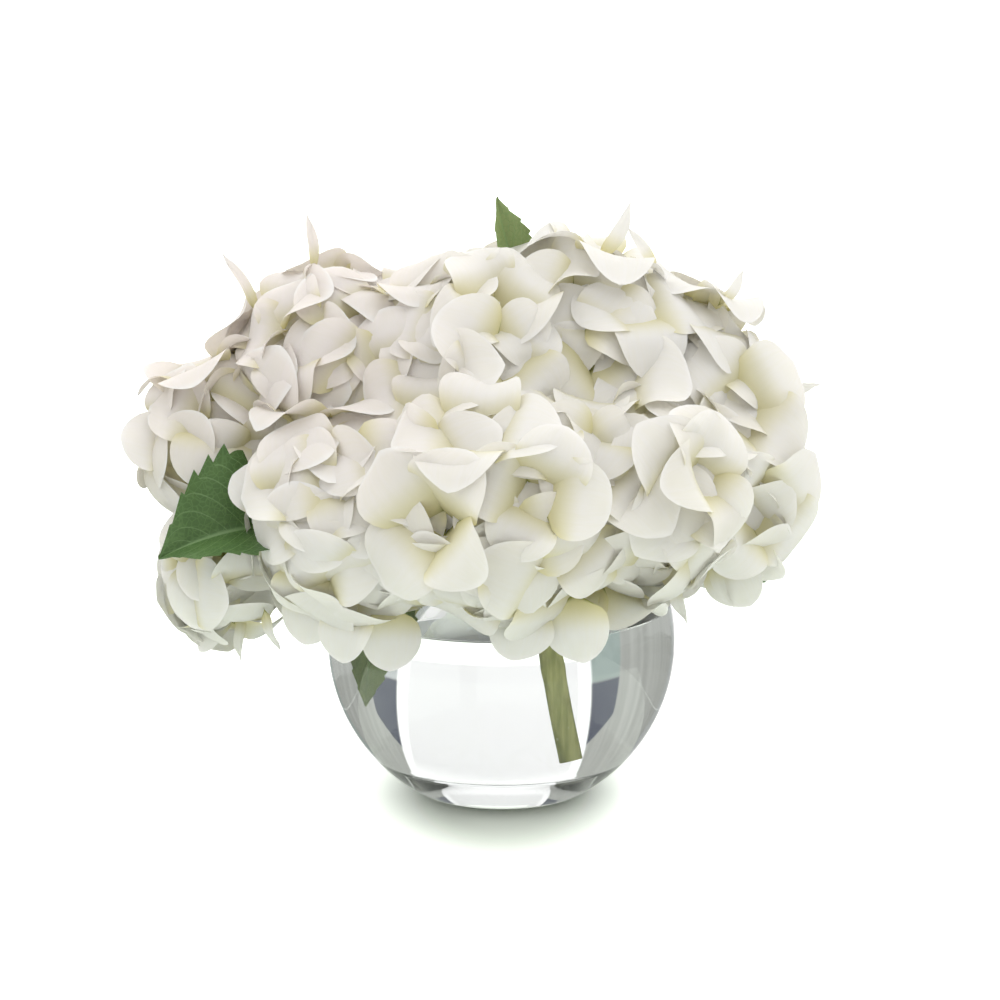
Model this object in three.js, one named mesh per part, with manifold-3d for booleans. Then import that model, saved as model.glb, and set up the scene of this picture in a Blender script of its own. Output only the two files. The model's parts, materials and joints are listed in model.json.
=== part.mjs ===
// A table centrepiece: a round glass bowl of water holding two branched stems of white hydrangea.
// Millimetres, +Z up. The origin is the centre of the bowl's flat base, and the front faces -Y.
// Fourteen blooms press together into one low dome, and seven leaves show between and under them.

import * as THREE from "three";
import { mergeVertices } from "three/addons/utils/BufferGeometryUtils.js";
import Module from "manifold-3d";

const wasm = await Module();
wasm.setup();

// Driving dimensions.
const GAP = 0.3; // between a piece and what carries or holds it
const BOWL_RADIUS = 75; // a six inch bubble bowl
const BASE_RADIUS = 34.5; // the flat that it stands on
const MOUTH_RADIUS = 49; // at the outside of the rim
const WALL = 3.6;
const FLOOR = 18; // the thick glass under the water
const BASE_EDGE = 1; // height of the worn edge round the base
const WATER_LEVEL = 81;
const STEM_RADIUS = 4;
const STALK_RADIUS = 2;
const RAY_RADIUS = 1;
const HUB_DEPTH = 0.75; // share of a bloom's radius from its middle back to its stalk's end
const RAYS = 5; // branches under each bloom, where there is room for them
const RAY_SPREAD = 0.36; // share of a bloom's radius from its middle out to the rays' ends
const FLORET_SPACING = 28; // between the middles of neighbouring florets
const FLORET_RELIEF = 4; // how far a floret stands out of the hollows between florets
const BLOOM_UNDERSIDE = 0.3; // share of a bloom's radius left below its middle, on the stalk's side
const BLOOM_CLEARANCE = 1.2; // from a bloom to a stalk or a leaf that passes through it
const LEAF_THICKNESS = 0.8;
const PETIOLE_RADIUS = 1.1;
const LEAF_FOLD = 0.22; // rise of a blade's edge over its midrib for its half width, unless stated
const TEETH = 7; // along each side of a leaf
const JOINT_REACH = 3; // how far a stalk or petiole runs straight out of what carries it

// Sizes that follow from them.
const BOWL_MIDDLE = Math.sqrt(BOWL_RADIUS ** 2 - BASE_RADIUS ** 2);
const INNER_RADIUS = BOWL_RADIUS - WALL;
const RIM_ANGLE = Math.acos(MOUTH_RADIUS / BOWL_RADIUS); // up from the bowl's middle
const BASE_ANGLE = Math.asin((BASE_EDGE - BOWL_MIDDLE) / BOWL_RADIUS);
const FLOOR_ANGLE = Math.asin((FLOOR - BOWL_MIDDLE) / INNER_RADIUS);
const RIM_TOP = BOWL_MIDDLE + (BOWL_RADIUS - WALL / 2) * Math.sin(RIM_ANGLE) + WALL / 2;

// How finely round things are divided.
const BOWL_SEGMENTS = 40;
const ARC_STEPS = 8;
const RIM_STEPS = 4;
const BLOOM_DETAIL = 4;
const STEM_SIDES = 10;
const STALK_SIDES = 6;
const RAY_SIDES = 4;
const PETIOLE_SIDES = 5;
const PETIOLE_STEPS = 7;
const STEM_STEPS = 10;
const STALK_STEPS = 8;

// The blooms: the middle of each ball of florets and its radius, and how far behind the middle
// its stalk ends where that isn't HUB_DEPTH.
const BLOOMS = {
  front: { middle: [0, -64, 137], radius: 54 },
  front_left: { middle: [-59, -49, 129], radius: 50 },
  front_right: { middle: [56, -48, 138], radius: 50 },
  left: { middle: [-119, 2, 152], radius: 36, hubDepth: 1.1 },
  low_left: { middle: [-117, -18, 97], radius: 26 },
  upper_left: { middle: [-68, 5, 183], radius: 46 },
  top_left: { middle: [-16, -10, 183], radius: 54 },
  top: { middle: [32, 8, 188], radius: 52 },
  upper_right: { middle: [74, 12, 176], radius: 48 },
  right: { middle: [91, 2, 139], radius: 45 },
  back_left: { middle: [-69, 63, 142], radius: 52 },
  back_top: { middle: [-6, 44, 182], radius: 48 },
  back: { middle: [-2, 76, 150], radius: 54 },
  back_right: { middle: [64, 63, 142], radius: 52 },
};

// The two cut stems, from the foot up through the neck, and the blooms whose stalks leave each
// one, with the share of the stem's length where each leaves. The last stalk goes on from the
// stem's end. The blooms rest on the bowl, so the cut feet hang clear of its floor.
const STEMS = {
  stem_right: {
    path: [[22.6, -4, 27], [18.8, -5, 47], [14, -6, 80], [12, -4, 110], [14, 1, 136]],
    blooms: {
      front: 0.725,
      front_right: 0.675,
      right: 0.775,
      back_right: 0.713,
      back: 0.825,
      upper_right: 0.875,
      back_top: 0.938,
      top: 1,
    },
  },
  stem_left: {
    path: [[-42, -2, 60], [-39, -1, 78], [-32, 0, 96], [-24, 1, 112], [-15, -1, 127]],
    blooms: {
      front_left: 0.7,
      back_left: 0.77,
      low_left: 0.84,
      left: 0.9,
      upper_left: 0.96,
      top_left: 1,
    },
  },
};

// The leaves. Each petiole starts on a bloom's stalk, at a share of the stalk's length, and ends
// at the blade's base. The blade runs on to the tip, curls, and turns its face to look along up.
const LEAVES = {
  leaf_left: {
    stalk: "left",
    share: 0.7,
    base: [-84, -36, 124],
    tip: [-142.5, -50, 113],
    up: [-0.1, -0.72, 0.69],
    width: 58,
    curl: 8,
    fold: 0.8,
  },
  leaf_top: {
    stalk: "top",
    share: 0.6,
    base: [14, 14, 206],
    tip: [-2, 12, 257],
    up: [0.55, -0.8, 0.1],
    width: 34,
    curl: -3,
    fold: 0.5,
  },
  leaf_bowl: {
    stalk: "front_left",
    share: 0.3,
    base: [-42, -14, 96],
    tip: [-50, -20, 46],
    up: [-0.3, -0.9, 0.1],
    width: 26,
    curl: 3,
  },
  leaf_neck: {
    stalk: "front",
    share: 0.4,
    base: [-2, -32, 106],
    tip: [-14, -44, 86],
    up: [0, -0.7, 0.7],
    width: 34,
    curl: 2,
  },
  leaf_back_left: {
    stalk: "back_left",
    share: 0.6,
    base: [-70, 50, 108],
    tip: [-112, 84, 82],
    up: [-0.4, 0.4, 0.8],
    width: 54,
    curl: -6,
  },
  leaf_back: {
    stalk: "back",
    share: 0.6,
    base: [24, 72, 104],
    tip: [34, 116, 84],
    up: [0.1, 0.5, 0.85],
    width: 52,
    curl: -6,
  },
  leaf_right: {
    stalk: "back_right",
    share: 0.6,
    base: [78, 24, 104],
    tip: [118, 40, 84],
    up: [0.5, 0.2, 0.85],
    width: 50,
    curl: -6,
  },
};

const CORE = new THREE.Vector3(0, 0, 118); // the blooms face away from here
const RIM_CLEARANCE = 4; // from the middle of a stalk to the glass that it passes over

const MATERIALS = {
  glass: { color: 0xdfe8e6, roughness: 0.02, metalness: 0, transparent: true, opacity: 0.35 },
  water: { color: 0xf4f8f8, roughness: 0.02, metalness: 0, transparent: true, opacity: 0.3 },
  stem: { color: 0x8f9a5a, roughness: 0.6, metalness: 0 },
  stalk: { color: 0xa3ad68, roughness: 0.6, metalness: 0 },
  leaf: { color: 0x4c7042, roughness: 0.55, metalness: 0 },
  petal: { color: 0xf1efe6, roughness: 0.65, metalness: 0 },
};

const group = new THREE.Group();
const vector = (point) => new THREE.Vector3(...point);

/** A closed geometry as a manifold-3d solid. */
function solidOf(geometry) {
  const bare = new THREE.BufferGeometry();
  bare.setAttribute("position", geometry.getAttribute("position"));
  if (geometry.index) bare.setIndex(geometry.index);
  const merged = mergeVertices(bare, 1e-3);
  return new wasm.Manifold(
    new wasm.Mesh({
      numProp: 3,
      vertProperties: merged.attributes.position.array,
      triVerts: new Uint32Array(merged.index.array),
    }),
  );
}

/** Adds a solid to the part as a named mesh. */
function addPiece(name, material, solid) {
  const cut = solid.getMesh();
  const geometry = new THREE.BufferGeometry();
  const positions = new Float32Array(cut.numVert * 3);
  for (let i = 0; i < cut.numVert; i++) {
    positions.set(cut.vertProperties.subarray(i * cut.numProp, i * cut.numProp + 3), i * 3);
  }
  geometry.setAttribute("position", new THREE.BufferAttribute(positions, 3));
  geometry.setIndex(new THREE.BufferAttribute(cut.triVerts, 1));
  geometry.computeVertexNormals();
  const mesh = new THREE.Mesh(geometry, new THREE.MeshStandardMaterial(MATERIALS[material]));
  mesh.name = name;
  group.add(mesh);
}

/** The largest separate body of a solid: a cut can leave a sliver behind. */
function largestOf(solid) {
  return solid.decompose().reduce((best, body) => (body.volume() > best.volume() ? body : best));
}

/** A round tube with flat ends along a smooth curve through the points. */
function tube(points, radius, sides, steps) {
  const corners = Array.from({ length: sides }, (_, i) => {
    const angle = (2 * Math.PI * i) / sides;
    return new THREE.Vector2(radius * Math.cos(angle), radius * Math.sin(angle));
  });
  const extrudePath = new THREE.CatmullRomCurve3(points);
  const options = { steps, extrudePath, bevelEnabled: false };
  return solidOf(new THREE.ExtrudeGeometry(new THREE.Shape(corners), options));
}

/** Points (radius, height) along an arc round the bowl's middle, between two angles. */
function bowlArc(radius, from, to) {
  return Array.from({ length: ARC_STEPS + 1 }, (_, i) => {
    const angle = from + ((to - from) * i) / ARC_STEPS;
    return new THREE.Vector2(radius * Math.cos(angle), BOWL_MIDDLE + radius * Math.sin(angle));
  });
}

/** A profile turned round the Z axis. */
function turned(profile) {
  return solidOf(new THREE.LatheGeometry(profile, BOWL_SEGMENTS).rotateX(Math.PI / 2));
}

/** The bowl: a thick flat base, a ball-shaped wall and a rounded rim. */
function bowl() {
  const rimMiddle = BOWL_RADIUS - WALL / 2;
  const rim = Array.from({ length: RIM_STEPS - 1 }, (_, i) => {
    const angle = (Math.PI * (i + 1)) / RIM_STEPS;
    const out = rimMiddle + (WALL / 2) * Math.cos(angle);
    const up = (WALL / 2) * Math.sin(angle);
    return new THREE.Vector2(out, up).rotateAround(new THREE.Vector2(), RIM_ANGLE);
  });
  for (const point of rim) point.y += BOWL_MIDDLE;
  return turned([
    new THREE.Vector2(0, 0),
    new THREE.Vector2(BASE_RADIUS - BASE_EDGE, 0),
    ...bowlArc(BOWL_RADIUS, BASE_ANGLE, RIM_ANGLE),
    ...rim,
    ...bowlArc(INNER_RADIUS, RIM_ANGLE, FLOOR_ANGLE),
    new THREE.Vector2(0, FLOOR),
  ]);
}

/** The space that the bowl's outside takes, grown all round, with its mouth filled. */
function bowlShape(grow) {
  const top = RIM_TOP + grow;
  const topAngle = Math.asin((top - BOWL_MIDDLE) / (BOWL_RADIUS + grow));
  return turned([
    new THREE.Vector2(0, 0),
    ...bowlArc(BOWL_RADIUS + grow, BASE_ANGLE, topAngle),
    new THREE.Vector2(0, top),
  ]);
}

/** The water: it fills the bowl to its level, just clear of the glass. */
function water() {
  const arc = bowlArc(INNER_RADIUS - GAP, FLOOR_ANGLE, RIM_ANGLE);
  const space = turned([new THREE.Vector2(0, arc[0].y), ...arc, new THREE.Vector2(0, arc.at(-1).y)]);
  return space.trimByPlane([0, 0, 1], FLOOR + GAP).trimByPlane([0, 0, -1], -WATER_LEVEL);
}

/** The way a bloom faces: out of the middle of the bouquet. */
function facing(bloom) {
  return vector(bloom.middle).sub(CORE).normalize();
}

/** Unit vectors spread evenly over a ball, one for each floret. */
function floretDirections(radius) {
  const count = Math.round((4 * Math.PI * radius ** 2) / (0.87 * FLORET_SPACING ** 2));
  const goldenAngle = Math.PI * (3 - Math.sqrt(5));
  return Array.from({ length: count }, (_, i) => {
    const height = 1 - (2 * i + 1) / count;
    const across = Math.sqrt(1 - height ** 2);
    const turn = goldenAngle * i;
    return new THREE.Vector3(across * Math.cos(turn), across * Math.sin(turn), height);
  });
}

/** A bloom's ball of florets, each one a low mound, before its neighbours press on it. */
function floretBall({ middle, radius }) {
  const geometry = new THREE.IcosahedronGeometry(1, BLOOM_DETAIL);
  const position = geometry.getAttribute("position");
  const florets = floretDirections(radius);
  const reach = (0.55 * FLORET_SPACING) / radius;
  const point = new THREE.Vector3();
  for (let i = 0; i < position.count; i++) {
    point.fromBufferAttribute(position, i).normalize();
    const nearest = Math.min(...florets.map((direction) => direction.angleTo(point)));
    const mound = Math.exp(-((nearest / reach) ** 2));
    point.multiplyScalar(radius - FLORET_RELIEF * (1 - mound));
    position.setXYZ(i, ...point.add(vector(middle)));
  }
  return solidOf(geometry);
}

/** A bloom: its ball, flat on the stalk's side and meeting each neighbour at a flat face. */
function bloom(name) {
  const own = BLOOMS[name];
  const middle = vector(own.middle);
  const out = facing(own);
  let solid = floretBall(own);
  solid = solid.trimByPlane(out.toArray(), middle.dot(out) - BLOOM_UNDERSIDE * own.radius);
  for (const [otherName, other] of Object.entries(BLOOMS)) {
    const away = vector(other.middle).sub(middle);
    const apart = away.length();
    if (otherName === name || apart > own.radius + other.radius) continue;
    const share = (apart ** 2 + own.radius ** 2 - other.radius ** 2) / (2 * apart);
    const back = away.normalize().negate();
    solid = solid.trimByPlane(back.toArray(), middle.dot(back) - share + GAP / 2);
  }
  return solid;
}

/** A point lifted clear of the bowl's rim and shoulder, if it lies over them. */
function overRim(point) {
  const out = Math.hypot(point.x, point.y);
  const reach = BOWL_RADIUS + RIM_CLEARANCE;
  if (out < MOUTH_RADIUS - WALL - 3 * RIM_CLEARANCE || out > reach) return point;
  const height = Math.sqrt(reach ** 2 - Math.max(out, MOUTH_RADIUS) ** 2);
  point.z = Math.max(point.z, BOWL_MIDDLE + height);
  return point;
}

/** Points on the way from one point to another, over the rim where they have to be. */
function way(from, to) {
  return [0.2, 0.4, 0.6, 0.8].map((share) => overRim(from.clone().lerp(to, share)));
}

/** A bloom's stalk, from the side or end of its stem to its hub, and the rays beyond the hub. */
function stalkPaths(bloomName, stemCurve, share) {
  const own = BLOOMS[bloomName];
  const { radius, hubDepth = HUB_DEPTH } = own;
  const out = facing(own);
  const middle = vector(own.middle);
  const hub = overRim(middle.clone().addScaledVector(out, -hubDepth * radius));
  const node = stemCurve.getPointAt(share);
  const tangent = stemCurve.getTangentAt(share);
  const away = hub.clone().sub(node).projectOnPlane(tangent).normalize();
  const leaving = share === 1 ? tangent : away;
  const start = node.clone().addScaledVector(leaving, share === 1 ? GAP : 0);
  const shoulder = node.clone().addScaledVector(leaving, STEM_RADIUS + JOINT_REACH);
  const along = new THREE.Vector3(0, 0, 1).projectOnPlane(out).normalize();
  const underside = middle.clone().addScaledVector(out, -BLOOM_UNDERSIDE * radius);
  const rays = Array.from({ length: RAYS }, (_, i) => {
    const angle = (2 * Math.PI * i) / RAYS;
    const spread = along.clone().applyAxisAngle(out, angle);
    const tip = underside.clone().addScaledVector(spread, RAY_SPREAD * radius);
    const knee = overRim(hub.clone().lerp(tip, 0.6).addScaledVector(spread, 0.06 * radius));
    return [hub.clone().addScaledVector(out, -1), knee, tip.addScaledVector(out, 1)];
  });
  return { path: [start, shoulder, ...way(shoulder, hub), hub], rays, stemCurve };
}

/** A bloom's stalk with those of its rays that meet no other bloom and no glass. */
function stalk(name, { path, rays, stemCurve }, obstacles) {
  const own = BLOOMS[name];
  const out = facing(own);
  const stemSleeve = tube(stemCurve.points, STEM_RADIUS + GAP, STEM_SIDES, STEM_STEPS);
  let solid = largestOf(tube(path, STALK_RADIUS, STALK_SIDES, STALK_STEPS).subtract(stemSleeve));
  for (const ray of rays.map((points) => tube(points, RAY_RADIUS, RAY_SIDES, 2))) {
    if (obstacles.every((obstacle) => obstacle.intersect(ray).isEmpty())) solid = solid.add(ray);
  }
  const seat = vector(own.middle).dot(out) - BLOOM_UNDERSIDE * own.radius - GAP;
  return solid.trimByPlane(out.negate().toArray(), -seat);
}

/** Half the width of a leaf's blade at a share of its length, with the teeth along its edge. */
function halfWidth(share, width) {
  const outline = Math.sin(Math.PI * share ** 0.8) ** 0.85 * (1 - 0.25 * share);
  const tooth = (share * TEETH) % 1;
  return (width / 2) * outline * (1.04 - 0.12 * tooth);
}

/** Six points across a blade: three over its face, then three under it. */
function bladeRow({ origin, across, face, halfThickness, fold }, sideWidth, lift) {
  const row = [];
  for (const level of [halfThickness, -halfThickness]) {
    for (const side of [-1, 0, 1]) {
      const rise = lift + Math.abs(side) * sideWidth * fold + level;
      const point = origin.clone().addScaledVector(across, side * sideWidth);
      row.push(point.addScaledVector(face, rise));
    }
  }
  return row;
}

/** A leaf's blade: toothed edges, folded a little along the midrib and curled along its length. */
function blade({ base, tip, up, width, curl, fold = LEAF_FOLD }, grow) {
  const along = vector(tip).sub(vector(base));
  const across = along.clone().cross(vector(up)).normalize();
  const face = across.clone().cross(along).normalize();
  const halfThickness = LEAF_THICKNESS / 2 + grow;
  const rows = TEETH * 2;
  const points = [];
  for (let row = 0; row <= rows; row++) {
    const share = row / rows;
    const origin = vector(base).addScaledVector(along, share);
    const within = Math.min(Math.max(share, 0.02), 0.985);
    const sideWidth = Math.max(halfWidth(within, width), 0.6) + grow;
    const lift = 4 * curl * share * (1 - share);
    points.push(...bladeRow({ origin, across, face, halfThickness, fold }, sideWidth, lift));
  }
  const index = [];
  const quad = (a, b, c, d) => index.push(a, b, c, a, c, d);
  const ring = [0, 1, 2, 5, 4, 3]; // round one row: over the face, then back under it
  for (let row = 0; row < rows; row++) {
    ring.forEach((here, i) => {
      const next = ring[(i + 1) % ring.length];
      quad(row * 6 + here, row * 6 + next, row * 6 + 6 + next, row * 6 + 6 + here);
    });
  }
  const last = rows * 6;
  for (const [a, b, c, d] of [[0, 3, 4, 1], [1, 4, 5, 2]]) {
    quad(a, b, c, d);
    quad(last + d, last + c, last + b, last + a);
  }
  const geometry = new THREE.BufferGeometry().setFromPoints(points);
  geometry.setIndex(index);
  return solidOf(geometry);
}

/** A leaf: its blade, and the petiole that carries it from a saddle on a stalk. */
function leaf(own, grow = 0) {
  const base = vector(own.base);
  const carrier = new THREE.CatmullRomCurve3(stalks[own.stalk].path);
  const axil = carrier.getPointAt(own.share);
  const away = base.clone().sub(axil).projectOnPlane(carrier.getTangentAt(own.share)).normalize();
  const shoulder = axil.clone().addScaledVector(away, STALK_RADIUS + JOINT_REACH);
  const midrib = base.clone().lerp(vector(own.tip), 0.1);
  const route = [axil, shoulder, ...way(shoulder, base), base, midrib];
  const petiole = tube(route, PETIOLE_RADIUS + grow, PETIOLE_SIDES, PETIOLE_STEPS);
  const stalkSleeve = tube(carrier.points, STALK_RADIUS + GAP, STALK_SIDES, STALK_STEPS);
  return largestOf(blade(own, grow).add(petiole).subtract(stalkSleeve));
}

const stems = {};
const stalks = {};
for (const [name, { path, blooms }] of Object.entries(STEMS)) {
  const points = path.map(vector);
  stems[name] = tube(points, STEM_RADIUS, STEM_SIDES, STEM_STEPS);
  const curve = new THREE.CatmullRomCurve3(points);
  for (const [bloomName, share] of Object.entries(blooms)) {
    stalks[bloomName] = stalkPaths(bloomName, curve, share);
  }
}

const bowlSpace = bowlShape(GAP);
const leafSleeves = Object.values(LEAVES).map((own) => leaf(own, BLOOM_CLEARANCE));
const pressed = {};
for (const name of Object.keys(BLOOMS)) pressed[name] = bloom(name).subtract(bowlSpace);

const glass = bowl();
addPiece("glass_bowl", "glass", glass);

let filling = water();
for (const { path } of Object.values(STEMS)) {
  const foot = vector(path[0]);
  foot.addScaledVector(vector(path[1]).sub(foot).normalize(), -GAP);
  const sleeve = tube([foot, ...path.slice(1).map(vector)], STEM_RADIUS + GAP, STEM_SIDES, STEM_STEPS);
  filling = filling.subtract(sleeve);
}
filling = filling.subtract(leaf(LEAVES.leaf_bowl, GAP));
addPiece("water", "water", filling);

for (const [name, solid] of Object.entries(stems)) addPiece(name, "stem", solid);

for (const [name, paths] of Object.entries(stalks)) {
  const others = Object.keys(BLOOMS).filter((other) => other !== name);
  addPiece("stalk_" + name, "stalk", stalk(name, paths, [glass, ...others.map((other) => pressed[other])]));
}

for (const name of Object.keys(BLOOMS)) {
  let solid = pressed[name];
  for (const { path } of Object.values(stalks)) {
    solid = solid.subtract(tube(path, STALK_RADIUS + BLOOM_CLEARANCE, STALK_SIDES, STALK_STEPS));
  }
  for (const sleeve of leafSleeves) solid = solid.subtract(sleeve);
  addPiece("bloom_" + name, "petal", largestOf(solid));
}

for (const [name, own] of Object.entries(LEAVES)) addPiece(name, "leaf", leaf(own));

export default group;
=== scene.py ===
"""A low centrepiece: white hydrangeas on branched stems, standing in a round glass bowl of water.

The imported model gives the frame: metres, +Z up, and the front faces -Y. Sizes and places that the
model also has are written here in millimetres, as it has them, and MM turns them to metres.
"""

import json
import math
import random

import bpy
import numpy as np
from mathutils import Matrix, Vector

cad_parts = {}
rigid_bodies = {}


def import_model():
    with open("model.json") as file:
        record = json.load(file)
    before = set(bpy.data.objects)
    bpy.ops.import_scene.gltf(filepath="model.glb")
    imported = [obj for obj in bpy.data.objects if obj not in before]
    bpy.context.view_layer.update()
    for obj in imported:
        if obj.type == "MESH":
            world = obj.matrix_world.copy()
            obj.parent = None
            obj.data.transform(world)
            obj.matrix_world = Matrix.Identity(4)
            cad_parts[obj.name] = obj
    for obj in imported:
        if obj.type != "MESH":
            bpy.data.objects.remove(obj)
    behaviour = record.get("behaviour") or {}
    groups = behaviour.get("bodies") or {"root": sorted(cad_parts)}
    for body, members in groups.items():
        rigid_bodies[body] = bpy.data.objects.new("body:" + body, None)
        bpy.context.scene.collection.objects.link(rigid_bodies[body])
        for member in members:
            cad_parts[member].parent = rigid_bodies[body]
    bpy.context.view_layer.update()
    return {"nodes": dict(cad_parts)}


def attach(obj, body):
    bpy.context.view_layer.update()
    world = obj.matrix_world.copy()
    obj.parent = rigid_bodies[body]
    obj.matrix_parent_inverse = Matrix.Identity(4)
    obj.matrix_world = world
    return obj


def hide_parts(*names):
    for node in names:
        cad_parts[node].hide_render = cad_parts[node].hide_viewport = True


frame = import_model()

MM = 0.001

# The bowl and what stands in it.
BOWL_RADIUS = 75
BASE_RADIUS = 34.5
MOUTH_RADIUS = 49
WALL = 3.6
FLOOR = 18
FLOOR_RISE = 3  # the floor is this much higher in the middle
BASE_EDGE = 1
WATER_LEVEL = 81
WATER_OVERLAP = 0.15  # the water reaches this far into the glass, so that no film of air shows
MENISCUS = 1.6  # how far the water climbs the glass
MENISCUS_START = 0.25  # its first point lies this far in from the glass
MENISCUS_WIDTH = 4
MENISCUS_STEPS = 8
FLOOR_CORNER = 1.8  # rounding where the wall meets the floor inside
FLOOR_STEPS = 14
TURNED_SEGMENTS = 192
ARC_STEPS = {"rim": 12, "wall": 72, "dry": 16, "wet": 56, "water": 64}
BOWL_MIDDLE = math.sqrt(BOWL_RADIUS**2 - BASE_RADIUS**2)
INNER_RADIUS = BOWL_RADIUS - WALL
RIM_ANGLE = math.acos(MOUTH_RADIUS / BOWL_RADIUS)
RIM_RADIUS = BOWL_RADIUS - WALL / 2
RIM_MIDDLE = BOWL_MIDDLE + RIM_RADIUS * math.sin(RIM_ANGLE)
RIM_TOP = RIM_MIDDLE + WALL / 2
GLASS_INDEX = 1.5
WATER_INDEX = 1.33
GLASS_TINT = "#F8F9F8"
WATER_TINT = "#FAFCFC"

# The middle of each bloom's ball of florets, and its radius. Five differ from the model's by up to
# 5 mm, so that petals have room to stand out of the dome.
BLOOMS = {
    "front": ((0, -64, 137), 54),
    "front_left": ((-59, -49, 129), 50),
    "front_right": ((56, -47, 141), 47),
    "left": ((-119, 2, 152), 36),
    "low_left": ((-117, -18, 99), 26),
    "upper_left": ((-68, 5, 183), 46),
    "top_left": ((-16, -10, 182), 50),
    "top": ((32, 8, 188), 52),
    "upper_right": ((73, 12, 175), 45),
    "right": ((90, 2, 139), 40),
    "back_left": ((-69, 63, 142), 52),
    "back_top": ((-6, 44, 182), 48),
    "back": ((-2, 76, 150), 54),
    "back_right": ((64, 63, 142), 52),
}
CORE = Vector((0, 0, 118))  # the blooms face away from here, and the lights are turned to it
UNDERSIDE = 0.3  # share of a bloom's radius left below its middle, on the stalk's side
UNDERSIDE_MARGIN = 4
HUB_DEPTH = 0.45  # share of a bloom's radius from its middle to the hub, where its stalklets meet
# The bowl's right shoulder is bare in front: between these x no floret sits lower than the height.
BARE_SHOULDER = (42, 86)
BARE_HEIGHT = 118
GLASS_CLEARANCE = 5  # a floret lower than the rim sits at least this far off the bowl
RIM_CLEARANCE = 12  # and one over the mouth at least this far above the rim

# Each stem's centreline, from the cut foot up.
STEMS = {
    "stem_right": [(22.6, -4, 27), (18.8, -5, 47), (14, -6, 80), (12, -4, 110), (14, 1, 136)],
    "stem_left": [(-42, -2, 60), (-39, -1, 78), (-32, 0, 96), (-24, 1, 112), (-15, -1, 127)],
}
STEM_RADIUS = 4
# Where a stem swells, and over how much of its length on each side, as shares of its length.
STEM_NODES = ((0.34, 0.02), (0.76, 0.03))
STEM_WAIST = 0.97  # its radius between the nodes, over its radius
STEM_SWELLING = 0.07  # what a node adds to that
STEM_STEPS = 24  # rings from one point of the centreline to the next
STEM_SIDES = 28

# Each leaf's base and tip, the way its face looks, its width, how far it curls and how much it folds.
# The top leaf is narrower than the model's, and turned a little.
LEAVES = {
    "leaf_left": ((-84, -36, 124), (-142.5, -50, 113), (-0.1, -0.72, 0.69), 58, 8, 0.8),
    "leaf_top": ((14, 14, 206), (-2, 12, 257), (0.65, -0.7, 0.1), 27, -3, 0.5),
    "leaf_bowl": ((-42, -14, 96), (-50, -20, 46), (-0.3, -0.9, 0.1), 26, 3, 0.22),
    "leaf_neck": ((-2, -32, 106), (-14, -44, 86), (0, -0.7, 0.7), 34, 2, 0.22),
    "leaf_back_left": ((-70, 50, 108), (-112, 84, 82), (-0.4, 0.4, 0.8), 54, -6, 0.22),
    "leaf_back": ((24, 72, 104), (34, 116, 84), (0.1, 0.5, 0.85), 52, -6, 0.22),
    "leaf_right": ((78, 24, 104), (118, 40, 84), (0.5, 0.2, 0.85), 50, -6, 0.22),
}
PALE_LEAVES = ("leaf_top", "leaf_bowl", "leaf_neck")
LEAF_THICKNESS = 0.6
LEAF_TEETH = 8
LEAF_RIBS = 8  # pairs of side ribs
RIB_SLANT = 0.375  # how far a side rib climbs from the midrib to the edge, as a share of the length
LEAF_GRID = (LEAF_TEETH * 6, 20)  # faces along and across
PETIOLE_RADIUS = 1.1
PETIOLE_SIDES = 10
PETIOLE_STEPS = 4
PETIOLE_START = 2  # the model's petiole has its vertices further behind the blade's base than this
PETIOLE_RING = 1.5  # and two of them that lie nearer than this along it are of one ring

# The florets.
PETAL_LENGTH = 30
PETAL_WIDTH = 34
PETAL_THICKNESS = 0.4
PETAL_GRID = 8  # faces across and along a petal
PETAL_ROOT = 1.2  # from the floret's middle
PETAL_TURN = 0.22  # how far a petal may be turned from its quarter of the floret, in radians
PETAL_TWIST = 0.18
PETAL_SIZES = (0.86, 1.12)
PETAL_TIPS = (-0.1, 0.14)  # how far tips curl down and up, as a share of the length
PETAL_POINTS = (0.0, 0.02, 0.06)  # how pointed tips are, as a share of the length
# How far petals rise, sag and cup, as shares of their length, and how much higher the second pair
# rises.
OPEN_PETALS = {"rise": (0.4, 0.7), "sag": (0.32, 0.64), "cup": (-0.16, 0.1), "pair": 0.12}
HALF_OPEN_PETALS = {"rise": (0.75, 1.0), "sag": (0.2, 0.45), "cup": (0.05, 0.3), "pair": 0}
BUD_RADIUS = 1.7
FLORET_KINDS = 14
HALF_OPEN_EVERY = 5
# Depth of each layer of florets under the dome, the least distance between two, and their size.
LAYERS = ((17, 17, 1.0), (24, 16.5, 0.95))
FLORET_LIFT = 2  # how far a floret may stand above or below its layer
FLORET_LEAN = 0.25
FLORET_SPREAD = 0.08  # how far a floret's size may differ
SMALL_BLOOM = 42  # a bloom with a radius under this has smaller florets, and they sit less deep
LEAST_FIT = 0.7  # the size of florets on the smallest bloom there could be
TRIED_PLACES = 0.25  # on each bloom's ball, over the square of its radius
SINKING_ROUNDS = 3  # each brings the places nearer to their depth
DOME_BLEND = 11  # how far round them the balls of two blooms flow into one dome
PROUD = 11  # petals stand out of the dome no further than this
ON_GLASS = 1  # petals that meet the bowl lie at most this far off it
GLASS_PRESS = 0.4  # and those that would be deep inside it lie this much nearer
GLASS_PRESS_DEPTH = 6
# Florets in this box of x, y and z sit lower, so that the top leaf shows between them.
LEAF_GAP = ((-12, 18), (-26, 14), (213, 230))
LEAF_GAP_DEPTH = 9

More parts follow.
